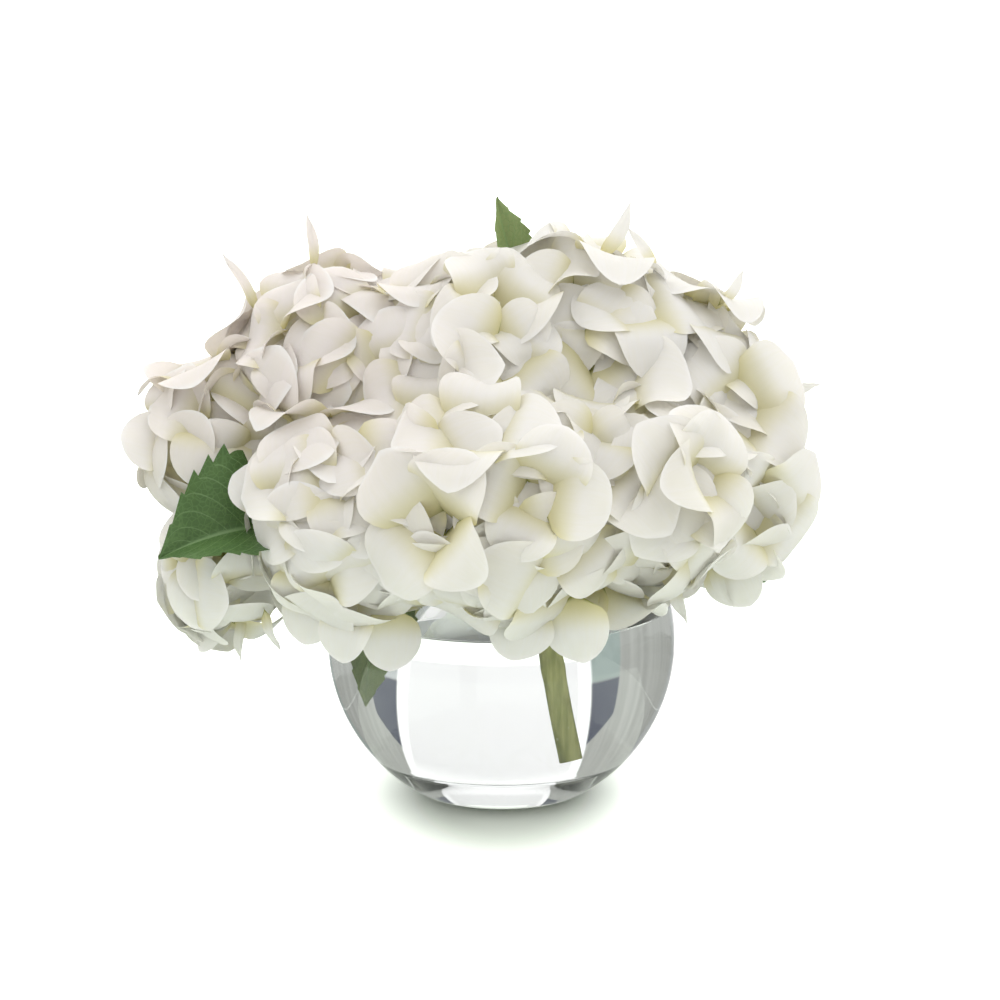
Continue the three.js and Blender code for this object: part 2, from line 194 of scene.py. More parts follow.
# Petals that stand out of the dome: the bloom, the petal's root and tip, its width and its turn away
# from the front.
STRAY_PETALS = [
    ("upper_left", (-79, 0, 224), (-82, 0, 249), 5, 0.3),
    ("upper_left", (-102, 0, 207), (-116, 0, 231), 5.5, 0.4),
    ("top", (40, 0, 230), (53, 0, 253), 8, 0.3),
    ("top", (67, 0, 226), (55, 0, 243), 5, 0.2),
    ("left", (-128, 0, 173), (-151, 0, 185), 15, 0.4),
    ("left", (-135, -8, 153), (-160, -12, 158), 26, 0.2),
    ("upper_right", (112, 0, 181), (133, 0, 178), 9, 0.4),
    ("upper_right", (91, 0, 211), (101, 0, 225), 6, 0.3),
    ("front_right", (71, -45, 107), (77, -45, 87), 6, 0.3),
    ("right", (88, -22, 110), (97, -22, 89), 7, 0.4),
    ("right", (103, -14, 114), (119, -14, 98), 22, 0.5),
    ("right", (92, -20, 112), (105, -22, 88), 27, 0.2),
    ("low_left", (-108, -22, 88), (-111, -22, 65), 5.5, 0.4),
    ("front_left", (-100, -42, 92), (-94, -42, 75), 5, 0.3),
    ("low_left", (-113, -18, 89), (-128, -18, 67), 15, 0.4),
    ("low_left", (-110, -42, 97), (-107, -49, 119), 27, 0.2),
    ("front_left", (-88, -58, 138), (-110, -50, 148), 24, 0.3),
    ("front_left", (-76, -58, 106), (-81, -62, 81), 25, 0.2),
    ("front_left", (-60, -70, 102), (-65, -77, 77), 25, 0.3),
    ("front_left", (-47, -72, 101), (-46, -79, 74), 25, -0.3),
    ("front", (8, -80, 106), (5, -85, 80), 27, -0.3),
    ("front", (30, -80, 107), (33, -85, 79), 29, 0.2),
]
STRAY_SHAPE = {"turn": 0, "rise": 0.3, "sag": 0.18, "cup": 0.1, "twist": 0.4, "tip": 0}
NARROW_PETAL = 12  # stray petals under this width are pointed
NARROW_POINT = 0.12
WIDE_POINT = 0.02

# The studio. Its light is linear, and its places are degrees up and to the side as seen from the bowl:
# the rear wall's edge and how it leans, the dark panel's far edge, the panel's top and how it slopes,
# and the colour under the panel.
WALL_LIGHT = (1.02, 1.02, 1.02, 1)
WALL_EDGE_LIGHT = (1.3, 1.3, 1.3, 1)  # also of its upper part
WALL_EDGE = 2.6  # width of its bright edge
CEILING_LIGHT = (1.6, 1.6, 1.62, 1)
FRONT_LIGHT = (0.84, 0.84, 0.83, 1)
STUDIO_SIDES = {
    1: {"wall": 19.9, "lean": 0.2, "panel": 27.3, "top": 42.6, "fall": 1.43, "low": "#C8CDCD"},
    -1: {"wall": 16.1, "lean": 0.12, "panel": 22.5, "top": 28.0, "fall": 1.157, "low": "#A0AFAA"},
}
PANEL_COLOUR = "#4E5264"
PANEL_FOOT = (-6.2, -5.4)
BORDERS = {"bright": 0.5, "wall": 0.4, "panel": 0.4, "top": 0.6}  # half the width of each soft border
UPPER_WALL = (13.0, 21.0)  # from the first to the second the wall grows brighter
CEILING = (28.0, 50.0)  # and here it turns into the ceiling
FRONT = (70.0, 110.0)  # and to the sides, here the grey walls turn into the front
WHITE_SEEN = 1.2  # strength of the white that the camera sees
KEY_PLACE = (0.5, -0.9, 1.7)
KEY_SIZE = 1.1
KEY_POWER = 0.7
FILL_SIZE = 1.0
# Lights that the glass doesn't see: their places and powers.
FILL_LIGHTS = {
    "right_fill": ((1.1, 0.15, 0.4), 3.8),
    "left_fill": ((-1.1, 0.15, 0.4), 2.3),
    "rear_fill": ((0, 1.0, 0.9), 4.0),
}
SWEEP_HALF = 12.0
SWEEP_GLOW = 1.0  # its glow, outside the painted shadow round the bowl
PAINTED_SHADOW_REACH = (0.057, 0.129)  # how far the painted shadow round the bowl reaches over the sweep, to the side and to the front
PAINTED_SHADOW_SPAN = (0.45, 1.25)  # shares of that reach between which the painted shadow fades
TABLE_GLOW = 0.25
TABLE_RADIUS = 0.32
TABLE_STEPS = 48
TABLE_DROP = 0.5 * MM  # it lies this far under the bowl
TABLE_EDGES = (-0.046, 0.062)  # where its rear part ends to the sides, at its far edge
TABLE_NECK = (0.01, 0.13)  # half its width where it is narrowest, and how far back that is
TABLE_REAR = 0.02  # its rear part starts this far behind the middle

# The camera, at the photograph's place, and how its frame is filled.
CAMERA_PLACE = Vector((-0.6, -1460, 423)) * MM
CAMERA_AIM = Vector((-0.6, 0, 128)) * MM
CAMERA_LENS = 125
SENSOR = 36


# ---------------------------------------------------------------- colours and nodes


def linear(colour):
    """An sRGB hex value as the linear colour that a shader takes."""
    channels = (int(colour[i : i + 2], 16) / 255 for i in (1, 3, 5))
    return [c / 12.92 if c <= 0.04045 else ((c + 0.055) / 1.055) ** 2.4 for c in channels] + [1]


def add(tree, kind, inputs=None, **settings):
    """Adds a node. An input is given a value, or a socket of another node that feeds it."""
    node = tree.nodes.new(kind)
    for name, value in settings.items():
        setattr(node, name, value)
    for name, value in (inputs or {}).items():
        if isinstance(value, bpy.types.NodeSocket):
            tree.links.new(value, node.inputs[name])
        else:
            node.inputs[name].default_value = value
    return node


def new_material(name):
    """An empty node material and its tree."""
    material = bpy.data.materials.new(name)
    material.use_nodes = True
    material.node_tree.nodes.clear()
    return material, material.node_tree


def finish_material(tree, shader):
    add(tree, "ShaderNodeOutputMaterial", {"Surface": shader})


# Settings that many nodes share.
SMOOTH = {"interpolation_type": "SMOOTHSTEP"}
COLOURS = {"data_type": "RGBA"}
TIMES = {"operation": "MULTIPLY"}
VECTORS = {"data_type": "FLOAT_VECTOR"}
NUMBERS = {"data_type": "FLOAT"}


# ---------------------------------------------------------------- materials


def petal_material():
    """Hydrangea sepals, as grown: thin, matt and a little waxy. Light passes through them, they are
    creamy white and green at the claw, with fine veins from claw to tip. Over that lie painted warm
    shade at the upper left and in the creases, painted cool shade on the lowest blooms, and a painted
    highlight at the rim."""
    material, tree = new_material("hydrangea_sepals")
    place = add(tree, "ShaderNodeUVMap", uv_map="blade").outputs[0]
    along = add(tree, "ShaderNodeSeparateXYZ", {0: place}).outputs["Y"]
    tint = add(tree, "ShaderNodeAttribute", attribute_name="tint").outputs["Fac"]
    spot = add(tree, "ShaderNodeTexCoord").outputs["Object"]
    where = add(tree, "ShaderNodeSeparateXYZ", {0: spot}).outputs
    whites = {0: tint, 6: linear("#FBFAF8"), 7: linear("#FAF8F3")}
    body = add(tree, "ShaderNodeMix", whites, **COLOURS).outputs[2]
    # Painted warm shade: the blooms at the upper left are tinted faintly pink.
    high = add(tree, "ShaderNodeMapRange", {0: where["Z"], 1: 0.12, 2: 0.19}, **SMOOTH).outputs[0]
    left = add(tree, "ShaderNodeMapRange", {0: where["X"], 1: 0.01, 2: -0.07}, **SMOOTH).outputs[0]
    warm_painted_shade = add(tree, "ShaderNodeMath", {0: high, 1: left}, **TIMES).outputs[0]
    body = add(tree, "ShaderNodeMix", {0: warm_painted_shade, 6: body, 7: linear("#FBF7F4")}, **COLOURS).outputs[2]
    # The veins lie about 1.4 mm apart, which is a 24th of a petal's width, and run along it.
    stretch = {"Vector": place, "Scale": (1.0, 0.12, 1.0)}
    fan = add(tree, "ShaderNodeMapping", stretch).outputs[0]
    veins = add(tree, "ShaderNodeTexNoise", {"Vector": fan, "Scale": 24.0, "Detail": 2.0}).outputs[0]
    # Each coat over that: what it follows, where it starts and is full, how strong it is, its colour.
    coats = (
        (where["Z"], 0.15, 0.08, 1.0, "#F8F8F5"),  # painted shade: the lowest blooms cooler and a little darker
        (veins, 0.66, 0.36, 0.16, "#F3F1E2"),
        (along, 0.62, 0.08, 0.95, "#EAE5BA"),  # the claw, and painted warm shade in the creases round it
        (along, 0.14, 0.02, 1.0, "#A9AB62"),  # its foot
        (along, 0.9, 1.0, 1.0, "#FCFBF9"),  # painted highlight along the rim
    )
    for source, start, full, strength, colour in coats:
        reach = {0: source, 1: start, 2: full, 4: strength}
        share = add(tree, "ShaderNodeMapRange", reach, **SMOOTH).outputs[0]
        body = add(tree, "ShaderNodeMix", {0: share, 6: body, 7: linear(colour)}, **COLOURS).outputs[2]
    bump = add(tree, "ShaderNodeBump", {"Height": veins, "Strength": 0.3, "Distance": 0.0003}).outputs[0]
    skin = {"Base Color": body, "Roughness": 0.6, "Specular IOR Level": 0.25, "Normal": bump}
    surface = add(tree, "ShaderNodeBsdfPrincipled", skin).outputs[0]
    through = add(tree, "ShaderNodeBsdfTranslucent", {"Color": body}).outputs[0]
    finish_material(tree, add(tree, "ShaderNodeMixShader", {0: 0.48, 1: surface, 2: through}).outputs[0])
    return material


def leaf_material(name, dark, light):
    """Hydrangea leaves, as grown: satin green above, with pale sunken veins in a net."""
    material, tree = new_material(name)
    place = add(tree, "ShaderNodeUVMap", uv_map="blade")
    split = add(tree, "ShaderNodeSeparateXYZ", {0: place.outputs[0]}).outputs
    centred = add(tree, "ShaderNodeMath", {0: split["X"], 1: 0.5}, operation="SUBTRACT").outputs[0]
    out = add(tree, "ShaderNodeMath", {0: centred}, operation="ABSOLUTE").outputs[0]
    midrib = add(tree, "ShaderNodeMapRange", {0: out, 1: 0.028, 2: 0.006}, **SMOOTH).outputs[0]
    climb = {0: out, 1: -2 * RIB_SLANT, 2: split["Y"]}
    slant = add(tree, "ShaderNodeMath", climb, operation="MULTIPLY_ADD").outputs[0]
    spaces = add(tree, "ShaderNodeMath", {0: slant, 1: LEAF_RIBS}, **TIMES).outputs[0]
    aside = add(tree, "ShaderNodeMath", {0: spaces, 1: 0.5}, operation="PINGPONG").outputs[0]
    ribs = add(tree, "ShaderNodeMapRange", {0: aside, 1: 0.06, 2: 0.005, 4: 0.7}, **SMOOTH).outputs[0]
    spot = add(tree, "ShaderNodeTexCoord").outputs["Object"]
    # The net of veins has meshes of about 2.5 mm, and the lighter and darker patches are 17 mm wide.
    meshes = {"Vector": spot, "Scale": 400.0}
    cells = add(tree, "ShaderNodeTexVoronoi", meshes, feature="DISTANCE_TO_EDGE").outputs[0]
    net = add(tree, "ShaderNodeMapRange", {0: cells, 1: 0.12, 2: 0.02, 4: 0.3}, **SMOOTH).outputs[0]
    mottle = add(tree, "ShaderNodeTexNoise", {"Vector": spot, "Scale": 60.0, "Detail": 4.0}).outputs[0]
    body = add(tree, "ShaderNodeMix", {0: mottle, 6: linear(dark), 7: linear(light)}, **COLOURS).outputs[2]
    body = add(tree, "ShaderNodeMix", {0: net, 6: body, 7: linear("#76995C")}, **COLOURS).outputs[2]
    ribbed = add(tree, "ShaderNodeMath", {0: midrib, 1: ribs}, operation="MAXIMUM").outputs[0]
    drawn = add(tree, "ShaderNodeMath", {0: ribbed, 1: 0.6}, **TIMES).outputs[0]
    colour = add(tree, "ShaderNodeMix", {0: drawn, 6: body, 7: linear("#8DAE76")}, **COLOURS).outputs[2]
    sunk = add(tree, "ShaderNodeMath", {0: ribbed, 1: net}, operation="MAXIMUM").outputs[0]
    relief = {"Height": sunk, "Strength": 0.5, "Distance": 0.0004}
    bump = add(tree, "ShaderNodeBump", relief, invert=True).outputs[0]
    skin = {"Base Color": colour, "Roughness": 0.42, "Specular IOR Level": 0.4, "Normal": bump}
    surface = add(tree, "ShaderNodeBsdfPrincipled", skin).outputs[0]
    through = add(tree, "ShaderNodeBsdfTranslucent", {"Color": colour}).outputs[0]
    finish_material(tree, add(tree, "ShaderNodeMixShader", {0: 0.2, 1: surface, 2: through}).outputs[0])
    return material


def stalk_material(name, light, dark, grain):
    """Green hydrangea wood, as cut: matt, with fine fibres along it, brownish patches of about 11 mm
    and small pale pores about 4 mm apart. grain says how many fibres a metre holds side by side."""
    material, tree = new_material(name)
    spot = add(tree, "ShaderNodeTexCoord").outputs["Object"]
    stretch = add(tree, "ShaderNodeMapping", {"Vector": spot, "Scale": (1, 1, 0.12)}).outputs[0]
    grained = {"Vector": stretch, "Scale": grain, "Detail": 4.0}
    fibres = add(tree, "ShaderNodeTexNoise", grained).outputs[0]
    fibre = add(tree, "ShaderNodeMapRange", {0: fibres, 1: 0.3, 2: 0.7}, **SMOOTH).outputs[0]
    body = add(tree, "ShaderNodeMix", {0: fibre, 6: linear(light), 7: linear(dark)}, **COLOURS).outputs[2]
    mottle = add(tree, "ShaderNodeTexNoise", {"Vector": spot, "Scale": 90.0, "Detail": 3.0}).outputs[0]
    brown = add(tree, "ShaderNodeMapRange", {0: mottle, 1: 0.5, 2: 0.7, 4: 0.5}, **SMOOTH).outputs[0]
    body = add(tree, "ShaderNodeMix", {0: brown, 6: body, 7: linear("#8D8A50")}, **COLOURS).outputs[2]
    dots = add(tree, "ShaderNodeTexVoronoi", {"Vector": spot, "Scale": 260.0}).outputs["Distance"]
    pores = add(tree, "ShaderNodeMapRange", {0: dots, 1: 0.18, 2: 0.08, 4: 0.6}, **SMOOTH).outputs[0]
    colour = add(tree, "ShaderNodeMix", {0: pores, 6: body, 7: linear("#D5D8A8")}, **COLOURS).outputs[2]
    bump = add(tree, "ShaderNodeBump", {"Height": fibres, "Strength": 0.5, "Distance": 0.0005}).outputs[0]
    skin = {"Base Color": colour, "Roughness": 0.55, "Normal": bump}
    finish_material(tree, add(tree, "ShaderNodeBsdfPrincipled", skin).outputs[0])
    return material


def clear_material(name, ior, tint):
    """Something clear and polished, blown glass or water: it bends what is seen through it, and its
    faint tint drifts over about 70 mm. ior is its index over that of what it touches, and 1 where the
    other side's surface already bends the light."""
    material, tree = new_material(name)
    spot = add(tree, "ShaderNodeTexCoord").outputs["Object"]
    swirl = add(tree, "ShaderNodeTexNoise", {"Vector": spot, "Scale": 14.0, "Detail": 1.0}).outputs[0]
    tints = {0: swirl, 6: linear(tint), 7: linear("#FFFFFF")}
    colour = add(tree, "ShaderNodeMix", tints, **COLOURS).outputs[2]
    skin = {"Base Color": colour, "Roughness": 0.0, "IOR": ior, "Transmission Weight": 1.0}
    finish_material(tree, add(tree, "ShaderNodeBsdfPrincipled", skin).outputs[0])
    return material


def paper_material(name, glow, shade=None):
    """White paper that glows, so that it comes out white. shade, where given, is how far round the
    bowl, to the side and to the front, the glow is taken away in a soft ellipse: a painted shadow."""
    material, tree = new_material(name)
    # Its faint green shows where the glow is weak, and so tints the painted shadow round the bowl.
    white = {"Base Color": linear("#EDF4E9"), "Roughness": 0.9, "Specular IOR Level": 0.0}
    white |= {"Emission Color": linear("#F2F7F2"), "Emission Strength": glow}
    if shade:
        # Painted shadow: the glow fades out in an ellipse round the bowl.
        spot = add(tree, "ShaderNodeTexCoord").outputs["Object"]
        scale = (1 / shade[0], 1 / shade[1], 1)
        scaled = add(tree, "ShaderNodeMapping", {"Vector": spot, "Scale": scale}).outputs[0]
        away = add(tree, "ShaderNodeVectorMath", {0: scaled}, operation="LENGTH").outputs["Value"]
        glow_outside_painted_shadow = {0: away, 1: PAINTED_SHADOW_SPAN[0], 2: PAINTED_SHADOW_SPAN[1], 4: glow}
        white["Emission Strength"] = add(tree, "ShaderNodeMapRange", glow_outside_painted_shadow, **SMOOTH).outputs[0]
    finish_material(tree, add(tree, "ShaderNodeBsdfPrincipled", white).outputs[0])
    return material


# ---------------------------------------------------------------- meshes


def new_piece(name, vertices, faces, material, uvs=None, sharp=None):
    """A mesh object at the origin. uvs holds a pair for each vertex of each face in turn."""
    mesh = bpy.data.meshes.new(name)
    mesh.from_pydata([tuple(v) for v in vertices], [], faces)
    mesh.shade_smooth()
    if uvs is not None:
        mesh.uv_layers.new(name="blade").data.foreach_set("uv", np.asarray(uvs, np.float32).ravel())
    if sharp is not None:
        marked = mesh.attributes.new("sharp_edge", "BOOLEAN", "EDGE")
        marked.data.foreach_set("value", [tuple(sorted(e.vertices)) in sharp for e in mesh.edges])
    if material:
        mesh.materials.append(material)
    return bpy.data.objects.new(name, mesh)


def shown(piece, slot, *nodes):
    """Links a finished piece into the scene, for these nodes of the model."""
    bpy.context.scene.collection.objects.link(piece)
    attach(piece, "root")
    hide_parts(*nodes)


def turned(profile, segments):
    """Vertices and faces of a profile of (radius, height) turned round Z, and it starts and ends there.
    The faces come stretch by stretch along the profile, as many for each as there are segments."""
    rings = []
    vertices = []
    for radius, height in profile:
        if radius < 1e-9:
            rings.append([len(vertices)] * segments)
            vertices.append((0, 0, height))
            continue
        rings.append([len(vertices) + i for i in range(segments)])
        for i in range(segments):
            angle = 2 * math.pi * i / segments
            vertices.append((radius * math.cos(angle), radius * math.sin(angle), height))
    faces = []
    for low, high in zip(rings, rings[1:]):
        for i in range(segments):
            j = (i + 1) % segments
            corners = list(dict.fromkeys((low[i], low[j], high[j], high[i])))
            faces.append(corners)
    return np.array(vertices) * MM, faces


def arc(radius, start, end, steps, middle=BOWL_MIDDLE, out=0.0):
    """Points (radius, height) along an arc round a point at a height and a distance from Z."""
    angles = (start + (end - start) * i / steps for i in range(steps + 1))
    return [(out + radius * math.cos(a), middle + radius * math.sin(a)) for a in angles]


def bowl_profile():
    """The bowl's section in two stretches: the base, the ball-shaped wall, the rounded rim and the
    inside above the water, and then the inside under water down to the middle of the thick floor."""
    base_angle = math.asin((BASE_EDGE - BOWL_MIDDLE) / BOWL_RADIUS)
    water_angle = math.asin((WATER_LEVEL + MENISCUS - BOWL_MIDDLE) / INNER_RADIUS)
    floor_angle = math.asin((FLOOR + FLOOR_CORNER - BOWL_MIDDLE) / INNER_RADIUS)
    rim_out = RIM_RADIUS * math.cos(RIM_ANGLE)
    rim_end = RIM_ANGLE + math.pi
    rim = arc(WALL / 2, RIM_ANGLE, rim_end, ARC_STEPS["rim"], RIM_MIDDLE, rim_out)[1:-1]
    foot = [(0, 0), (BASE_RADIUS - 3, 0), (BASE_RADIUS - 1.2, 0.15), (BASE_RADIUS - 0.3, 0.55)]
    wall = arc(BOWL_RADIUS, base_angle, RIM_ANGLE, ARC_STEPS["wall"])
    dry = arc(INNER_RADIUS, RIM_ANGLE, water_angle, ARC_STEPS["dry"])
    wet = arc(INNER_RADIUS, water_angle, floor_angle, ARC_STEPS["wet"])[1:]
    return foot + wall + rim + dry, wet + floor_line(INNER_RADIUS * math.cos(floor_angle), FLOOR)[::-1]


def water_profile():
    """The water's section in two stretches: just past the inside of the glass, and then from the
    meniscus to the middle of its surface."""
    radius = INNER_RADIUS + WATER_OVERLAP
    low = FLOOR - WATER_OVERLAP
    start = math.asin((low + FLOOR_CORNER - BOWL_MIDDLE) / radius)
    end = math.asin((WATER_LEVEL + MENISCUS - BOWL_MIDDLE) / radius)
    climb = []
    edge = radius * math.cos(end)
    for i in range(1, MENISCUS_STEPS + 1):
        share = i / MENISCUS_STEPS
        inwards = edge - MENISCUS_START - MENISCUS_WIDTH * share
        climb.append((inwards, WATER_LEVEL + MENISCUS * (1 - share) ** 2.5))
    held = floor_line(radius * math.cos(start), low) + arc(radius, start, end, ARC_STEPS["water"])
    return held, climb + [(0, WATER_LEVEL)]


def floor_line(edge, low):
    """The floor from its middle out to a distance from Z, with one point on its rounding into the
    wall. It is low at the edge, and rises to the middle as a flat dome."""
    line = []
    for i in range(FLOOR_STEPS + 1):
        share = i / FLOOR_STEPS
        line.append((share * (edge - FLOOR_CORNER), low + FLOOR_RISE * (1 - share**2)))
    return line + [(edge - 0.35 * FLOOR_CORNER, low + 0.2 * FLOOR_CORNER)]


def sheet(points, rim, thickness, uv):
    """A thin closed body on a grid of points: full thickness inside, and none at the grid's edge.

    Returns its vertices, faces, a uv pair for each corner, and the edges of its rim."""
    rows, columns = points.shape[:2]
    tangent_a, tangent_b = np.gradient(points, axis=(0, 1))
    normals = np.cross(tangent_b, tangent_a)
    normals /= np.maximum(np.linalg.norm(normals, axis=2, keepdims=True), 1e-9)
    under = points - normals * (thickness * rim)[..., None]
    vertices = [*points.reshape(-1, 3)]
    top = np.arange(rows * columns).reshape(rows, columns)
    bottom = top.copy()
    for i in range(1, rows - 1):
        for j in range(1, columns - 1):
            bottom[i, j] = len(vertices)
            vertices.append(under[i, j])
    faces, uvs = [], []
    for i in range(rows - 1):
        for j in range(columns - 1):
            cell = [(i, j), (i, j + 1), (i + 1, j + 1), (i + 1, j)]
            faces.append([int(top[c]) for c in cell])
            uvs += [uv[c] for c in cell]
            cell.reverse()
            faces.append([int(bottom[c]) for c in cell])
            uvs += [uv[c] for c in cell]
    ring = [(0, j) for j in range(columns)] + [(i, columns - 1) for i in range(1, rows)]
    ring += [(rows - 1, j) for j in range(columns - 2, -1, -1)] + [(i, 0) for i in range(rows - 2, 0, -1)]
    ring = [int(top[c]) for c in ring]
    sharp = {tuple(sorted(pair)) for pair in zip(ring, ring[1:] + ring[:1])}
    return vertices, faces, uvs, sharp


def joined(parts):
    """Several (vertices, faces, uvs, sharp) as one."""
    vertices, faces, uvs, sharp = [], [], [], set()
    for part_vertices, part_faces, part_uvs, part_sharp in parts:
        start = len(vertices)
        vertices += list(part_vertices)
        faces += [[start + v for v in face] for face in part_faces]
        uvs += part_uvs
        sharp |= {(start + a, start + b) for a, b in part_sharp}
    return vertices, faces, uvs, sharp


# ---------------------------------------------------------------- florets


def smooth_step(low, high, value):
    share = np.clip((value - low) / (high - low), 0, 1)
    return share * share * (3 - 2 * share)


def petal(turn, dice, rise, sag, cup, twist, size, tip, point, slim=1.0):
    """One petal in the plane of its floret: a round blade on a narrow claw. It rises from the claw,
    sags over its neighbours, cups across its width and curls at its tip, with a ripple round its rim."""
    side = np.linspace(-1, 1, PETAL_GRID + 1)
    a, b = np.meshgrid(side, side)
    x = a * np.sqrt(1 - b**2 / 2)
    y = b * np.sqrt(1 - a**2 / 2)
    away = np.hypot(x, y)
    along = (y + 1) / 2
    length, width = PETAL_LENGTH * size, PETAL_WIDTH * size * slim
    out = x * width / 2 * (0.25 + 0.75 * smooth_step(0.0, 0.3, along))
    forward = along + point * np.exp(-((x / 0.22) ** 2)) * smooth_step(0.75, 1, along)
    ripple = dice.uniform(0.01, 0.05)
    wave = ripple * np.sin(dice.choice((2, 3, 4)) * np.arctan2(x, y) + dice.uniform(0, 6.3))
    height = rise * along * (1.6 - along) - sag * along**2 + cup * x**2 * smooth_step(0.1, 0.6, along)
    height += wave * away**2 + tip * smooth_step(0.55, 1, along)
    lean = twist * along
    across = out * np.cos(lean)
    up = length * height + out * np.sin(lean)
    forward = PETAL_ROOT + length * forward
    points = np.stack(
        [
            forward * math.cos(turn) - across * math.sin(turn),
            forward * math.sin(turn) + across * math.cos(turn),
            up,
        ],
        axis=-1,
    )
    steps = range(len(side))
    uv = {(i, j): ((a[i, j] + 1) / 2, (b[i, j] + 1) / 2) for i in steps for j in steps}
    return sheet(points * MM, 1 - np.clip(away, 0, 1) ** 3, PETAL_THICKNESS * MM, uv)


def bud():
    """The small closed flower in the middle of a floret, coloured as a petal is at its claw."""
    shape = ((0, -1), (1, -0.2), (0.8, 0.7), (0, 1))
    vertices, faces = turned([(across * BUD_RADIUS, up * BUD_RADIUS) for across, up in shape], 6)
    return list(vertices), faces, [(0.5, 0.03)] * sum(map(len, faces)), set()


def floret(index):
    """A floret of four petals round its bud, with the pair that opened last lying higher. Every
    fifth kind is half open, with its petals upright."""
    dice = random.Random(100 + index)
    shape = HALF_OPEN_PETALS if (index + 1) % HALF_OPEN_EVERY == 0 else OPEN_PETALS
    parts = [bud()]
    for i in range(4):
        parts.append(
            petal(
                turn=i * math.pi / 2 + dice.uniform(-PETAL_TURN, PETAL_TURN),
                dice=dice,
                rise=dice.uniform(*shape["rise"]) + shape["pair"] * (i % 2),
                sag=dice.uniform(*shape["sag"]),
                cup=dice.uniform(*shape["cup"]),
                twist=dice.uniform(-PETAL_TWIST, PETAL_TWIST),
                size=dice.uniform(*PETAL_SIZES),
                tip=dice.uniform(*PETAL_TIPS),
                point=dice.choice(PETAL_POINTS),
            )
        )
    vertices, faces, uvs, sharp = joined(parts)
    return new_piece(f"floret_{index}", vertices, faces, None, uvs, sharp)


def stray_petals(name):
    """The petals of one bloom that stand out of the dome, each from its root to its tip."""
    parts = []
    for index, (bloom, root, tip, width, spin) in enumerate(STRAY_PETALS):
        if bloom != name:
            continue
        line = Vector(tip) - Vector(root)
        size = line.length / PETAL_LENGTH
        slim = width / PETAL_WIDTH / size
        point = NARROW_POINT if width < NARROW_PETAL else WIDE_POINT
        dice = random.Random(f"stray {index}")
        vertices, faces, uvs, sharp = petal(dice=dice, size=size, point=point, slim=slim, **STRAY_SHAPE)
        side = Vector((0, -1, 0)).cross(line).normalized()
        basis = Matrix((line.normalized(), side, line.cross(side).normalized())).transposed()
        turn = basis @ Matrix.Rotation(spin, 3, "X")
        placed = [turn @ Vector(v) + Vector(root) * MM for v in vertices]
        parts.append((placed, faces, uvs, sharp))
    return joined(parts)


def over_ball(count, dice):
    """Unit vectors spread evenly over a ball, turned at random."""
    golden = math.pi * (3 - math.sqrt(5))
    spin = dice.uniform(0, 2 * math.pi)
    tilt = Vector([dice.uniform(-1, 1) for _ in range(3)]).to_track_quat("Z", "Y")
    for i in range(count):
        height = 1 - (2 * i + 1) / count
        across = math.sqrt(1 - height**2)
        turn = golden * i + spin
        yield tilt @ Vector((across * math.cos(turn), across * math.sin(turn), height))


def dome(points):
    """How far points lie outside the dome that the blooms' balls make together, the way out of it, and
    the bloom that is nearest."""
    middles = np.array([middle for middle, _ in BLOOMS.values()], float)
    radii = np.array([radius for _, radius in BLOOMS.values()], float)
    away = points[:, None] - middles
    distance = np.linalg.norm(away, axis=2)
    outside = distance - radii
    nearest = np.argmin(outside, axis=1)
    least = outside.min(axis=1)
    weight = np.exp((least[:, None] - outside) / DOME_BLEND)
    level = least - DOME_BLEND * np.log(weight.sum(axis=1))
    way = (away / distance[..., None] * weight[..., None]).sum(axis=1)
    return level, way / np.linalg.norm(way, axis=1)[:, None], nearest


def may_carry(name, place):
    """Whether a bloom may have a floret at a place: not under its head, not in front of the bowl's
    bare shoulder, and not in the bowl."""
    middle, radius = BLOOMS[name]
    out = (Vector(middle) - CORE).normalized()
    if (place - Vector(middle)).dot(out) < -UNDERSIDE * radius - UNDERSIDE_MARGIN:
        return False
    if BARE_SHOULDER[0] < place.x < BARE_SHOULDER[1] and place.z < BARE_HEIGHT and place.y < 0:
        return False
    beside = (place - Vector((0, 0, BOWL_MIDDLE))).length > BOWL_RADIUS + GLASS_CLEARANCE
    return beside or place.z > RIM_TOP + RIM_CLEARANCE


def floret_places(depth, spacing, size):
    """Where one layer of florets sits, for each bloom: (place, way it faces, size). They are spread at
    random over the whole dome, and none is nearer to another than the spacing."""
    dice = random.Random(f"layer {depth}")
    names = list(BLOOMS)
    tries = []
    for name, (middle, radius) in BLOOMS.items():
        ways = np.array(list(over_ball(round(radius**2 * TRIED_PLACES), dice)))
        sunk = depth * min(1, radius / SMALL_BLOOM)
        spots = np.array(middle) + ways * (radius - sunk)
        for _ in range(SINKING_ROUNDS):
            level, _, _ = dome(spots)
            spots -= ways * (level + sunk)[:, None]
        _, facing, nearest = dome(spots)
        for spot, way, owner in zip(spots, facing, nearest):
            if names[owner] == name and may_carry(name, Vector(spot)):
                tries.append((name, spot, way))
    dice.shuffle(tries)
    taken = np.empty((0, 3))
    places = {name: [] for name in names}
    for name, spot, way in tries:
        if len(taken) and np.linalg.norm(taken - spot, axis=1).min() < spacing:
            continue
        taken = np.vstack([taken, spot])
        place = Vector(spot + way * dice.uniform(-FLORET_LIFT, FLORET_LIFT))
        if all(low < value < high for value, (low, high) in zip(place, LEAF_GAP)):
            place.z -= LEAF_GAP_DEPTH
        fit = LEAST_FIT + (1 - LEAST_FIT) * min(1, BLOOMS[name][1] / SMALL_BLOOM)
        own_size = size * fit * dice.uniform(1 - FLORET_SPREAD, 1 + FLORET_SPREAD)
        places[name].append((place, Vector(way), own_size))
    return places


def group_input(tree, name, kind, default=None):
    """Adds an input to a node group."""
    socket = tree.interface.new_socket(name, in_out="INPUT", socket_type=kind)
    if default is not None:
        socket.default_value = default


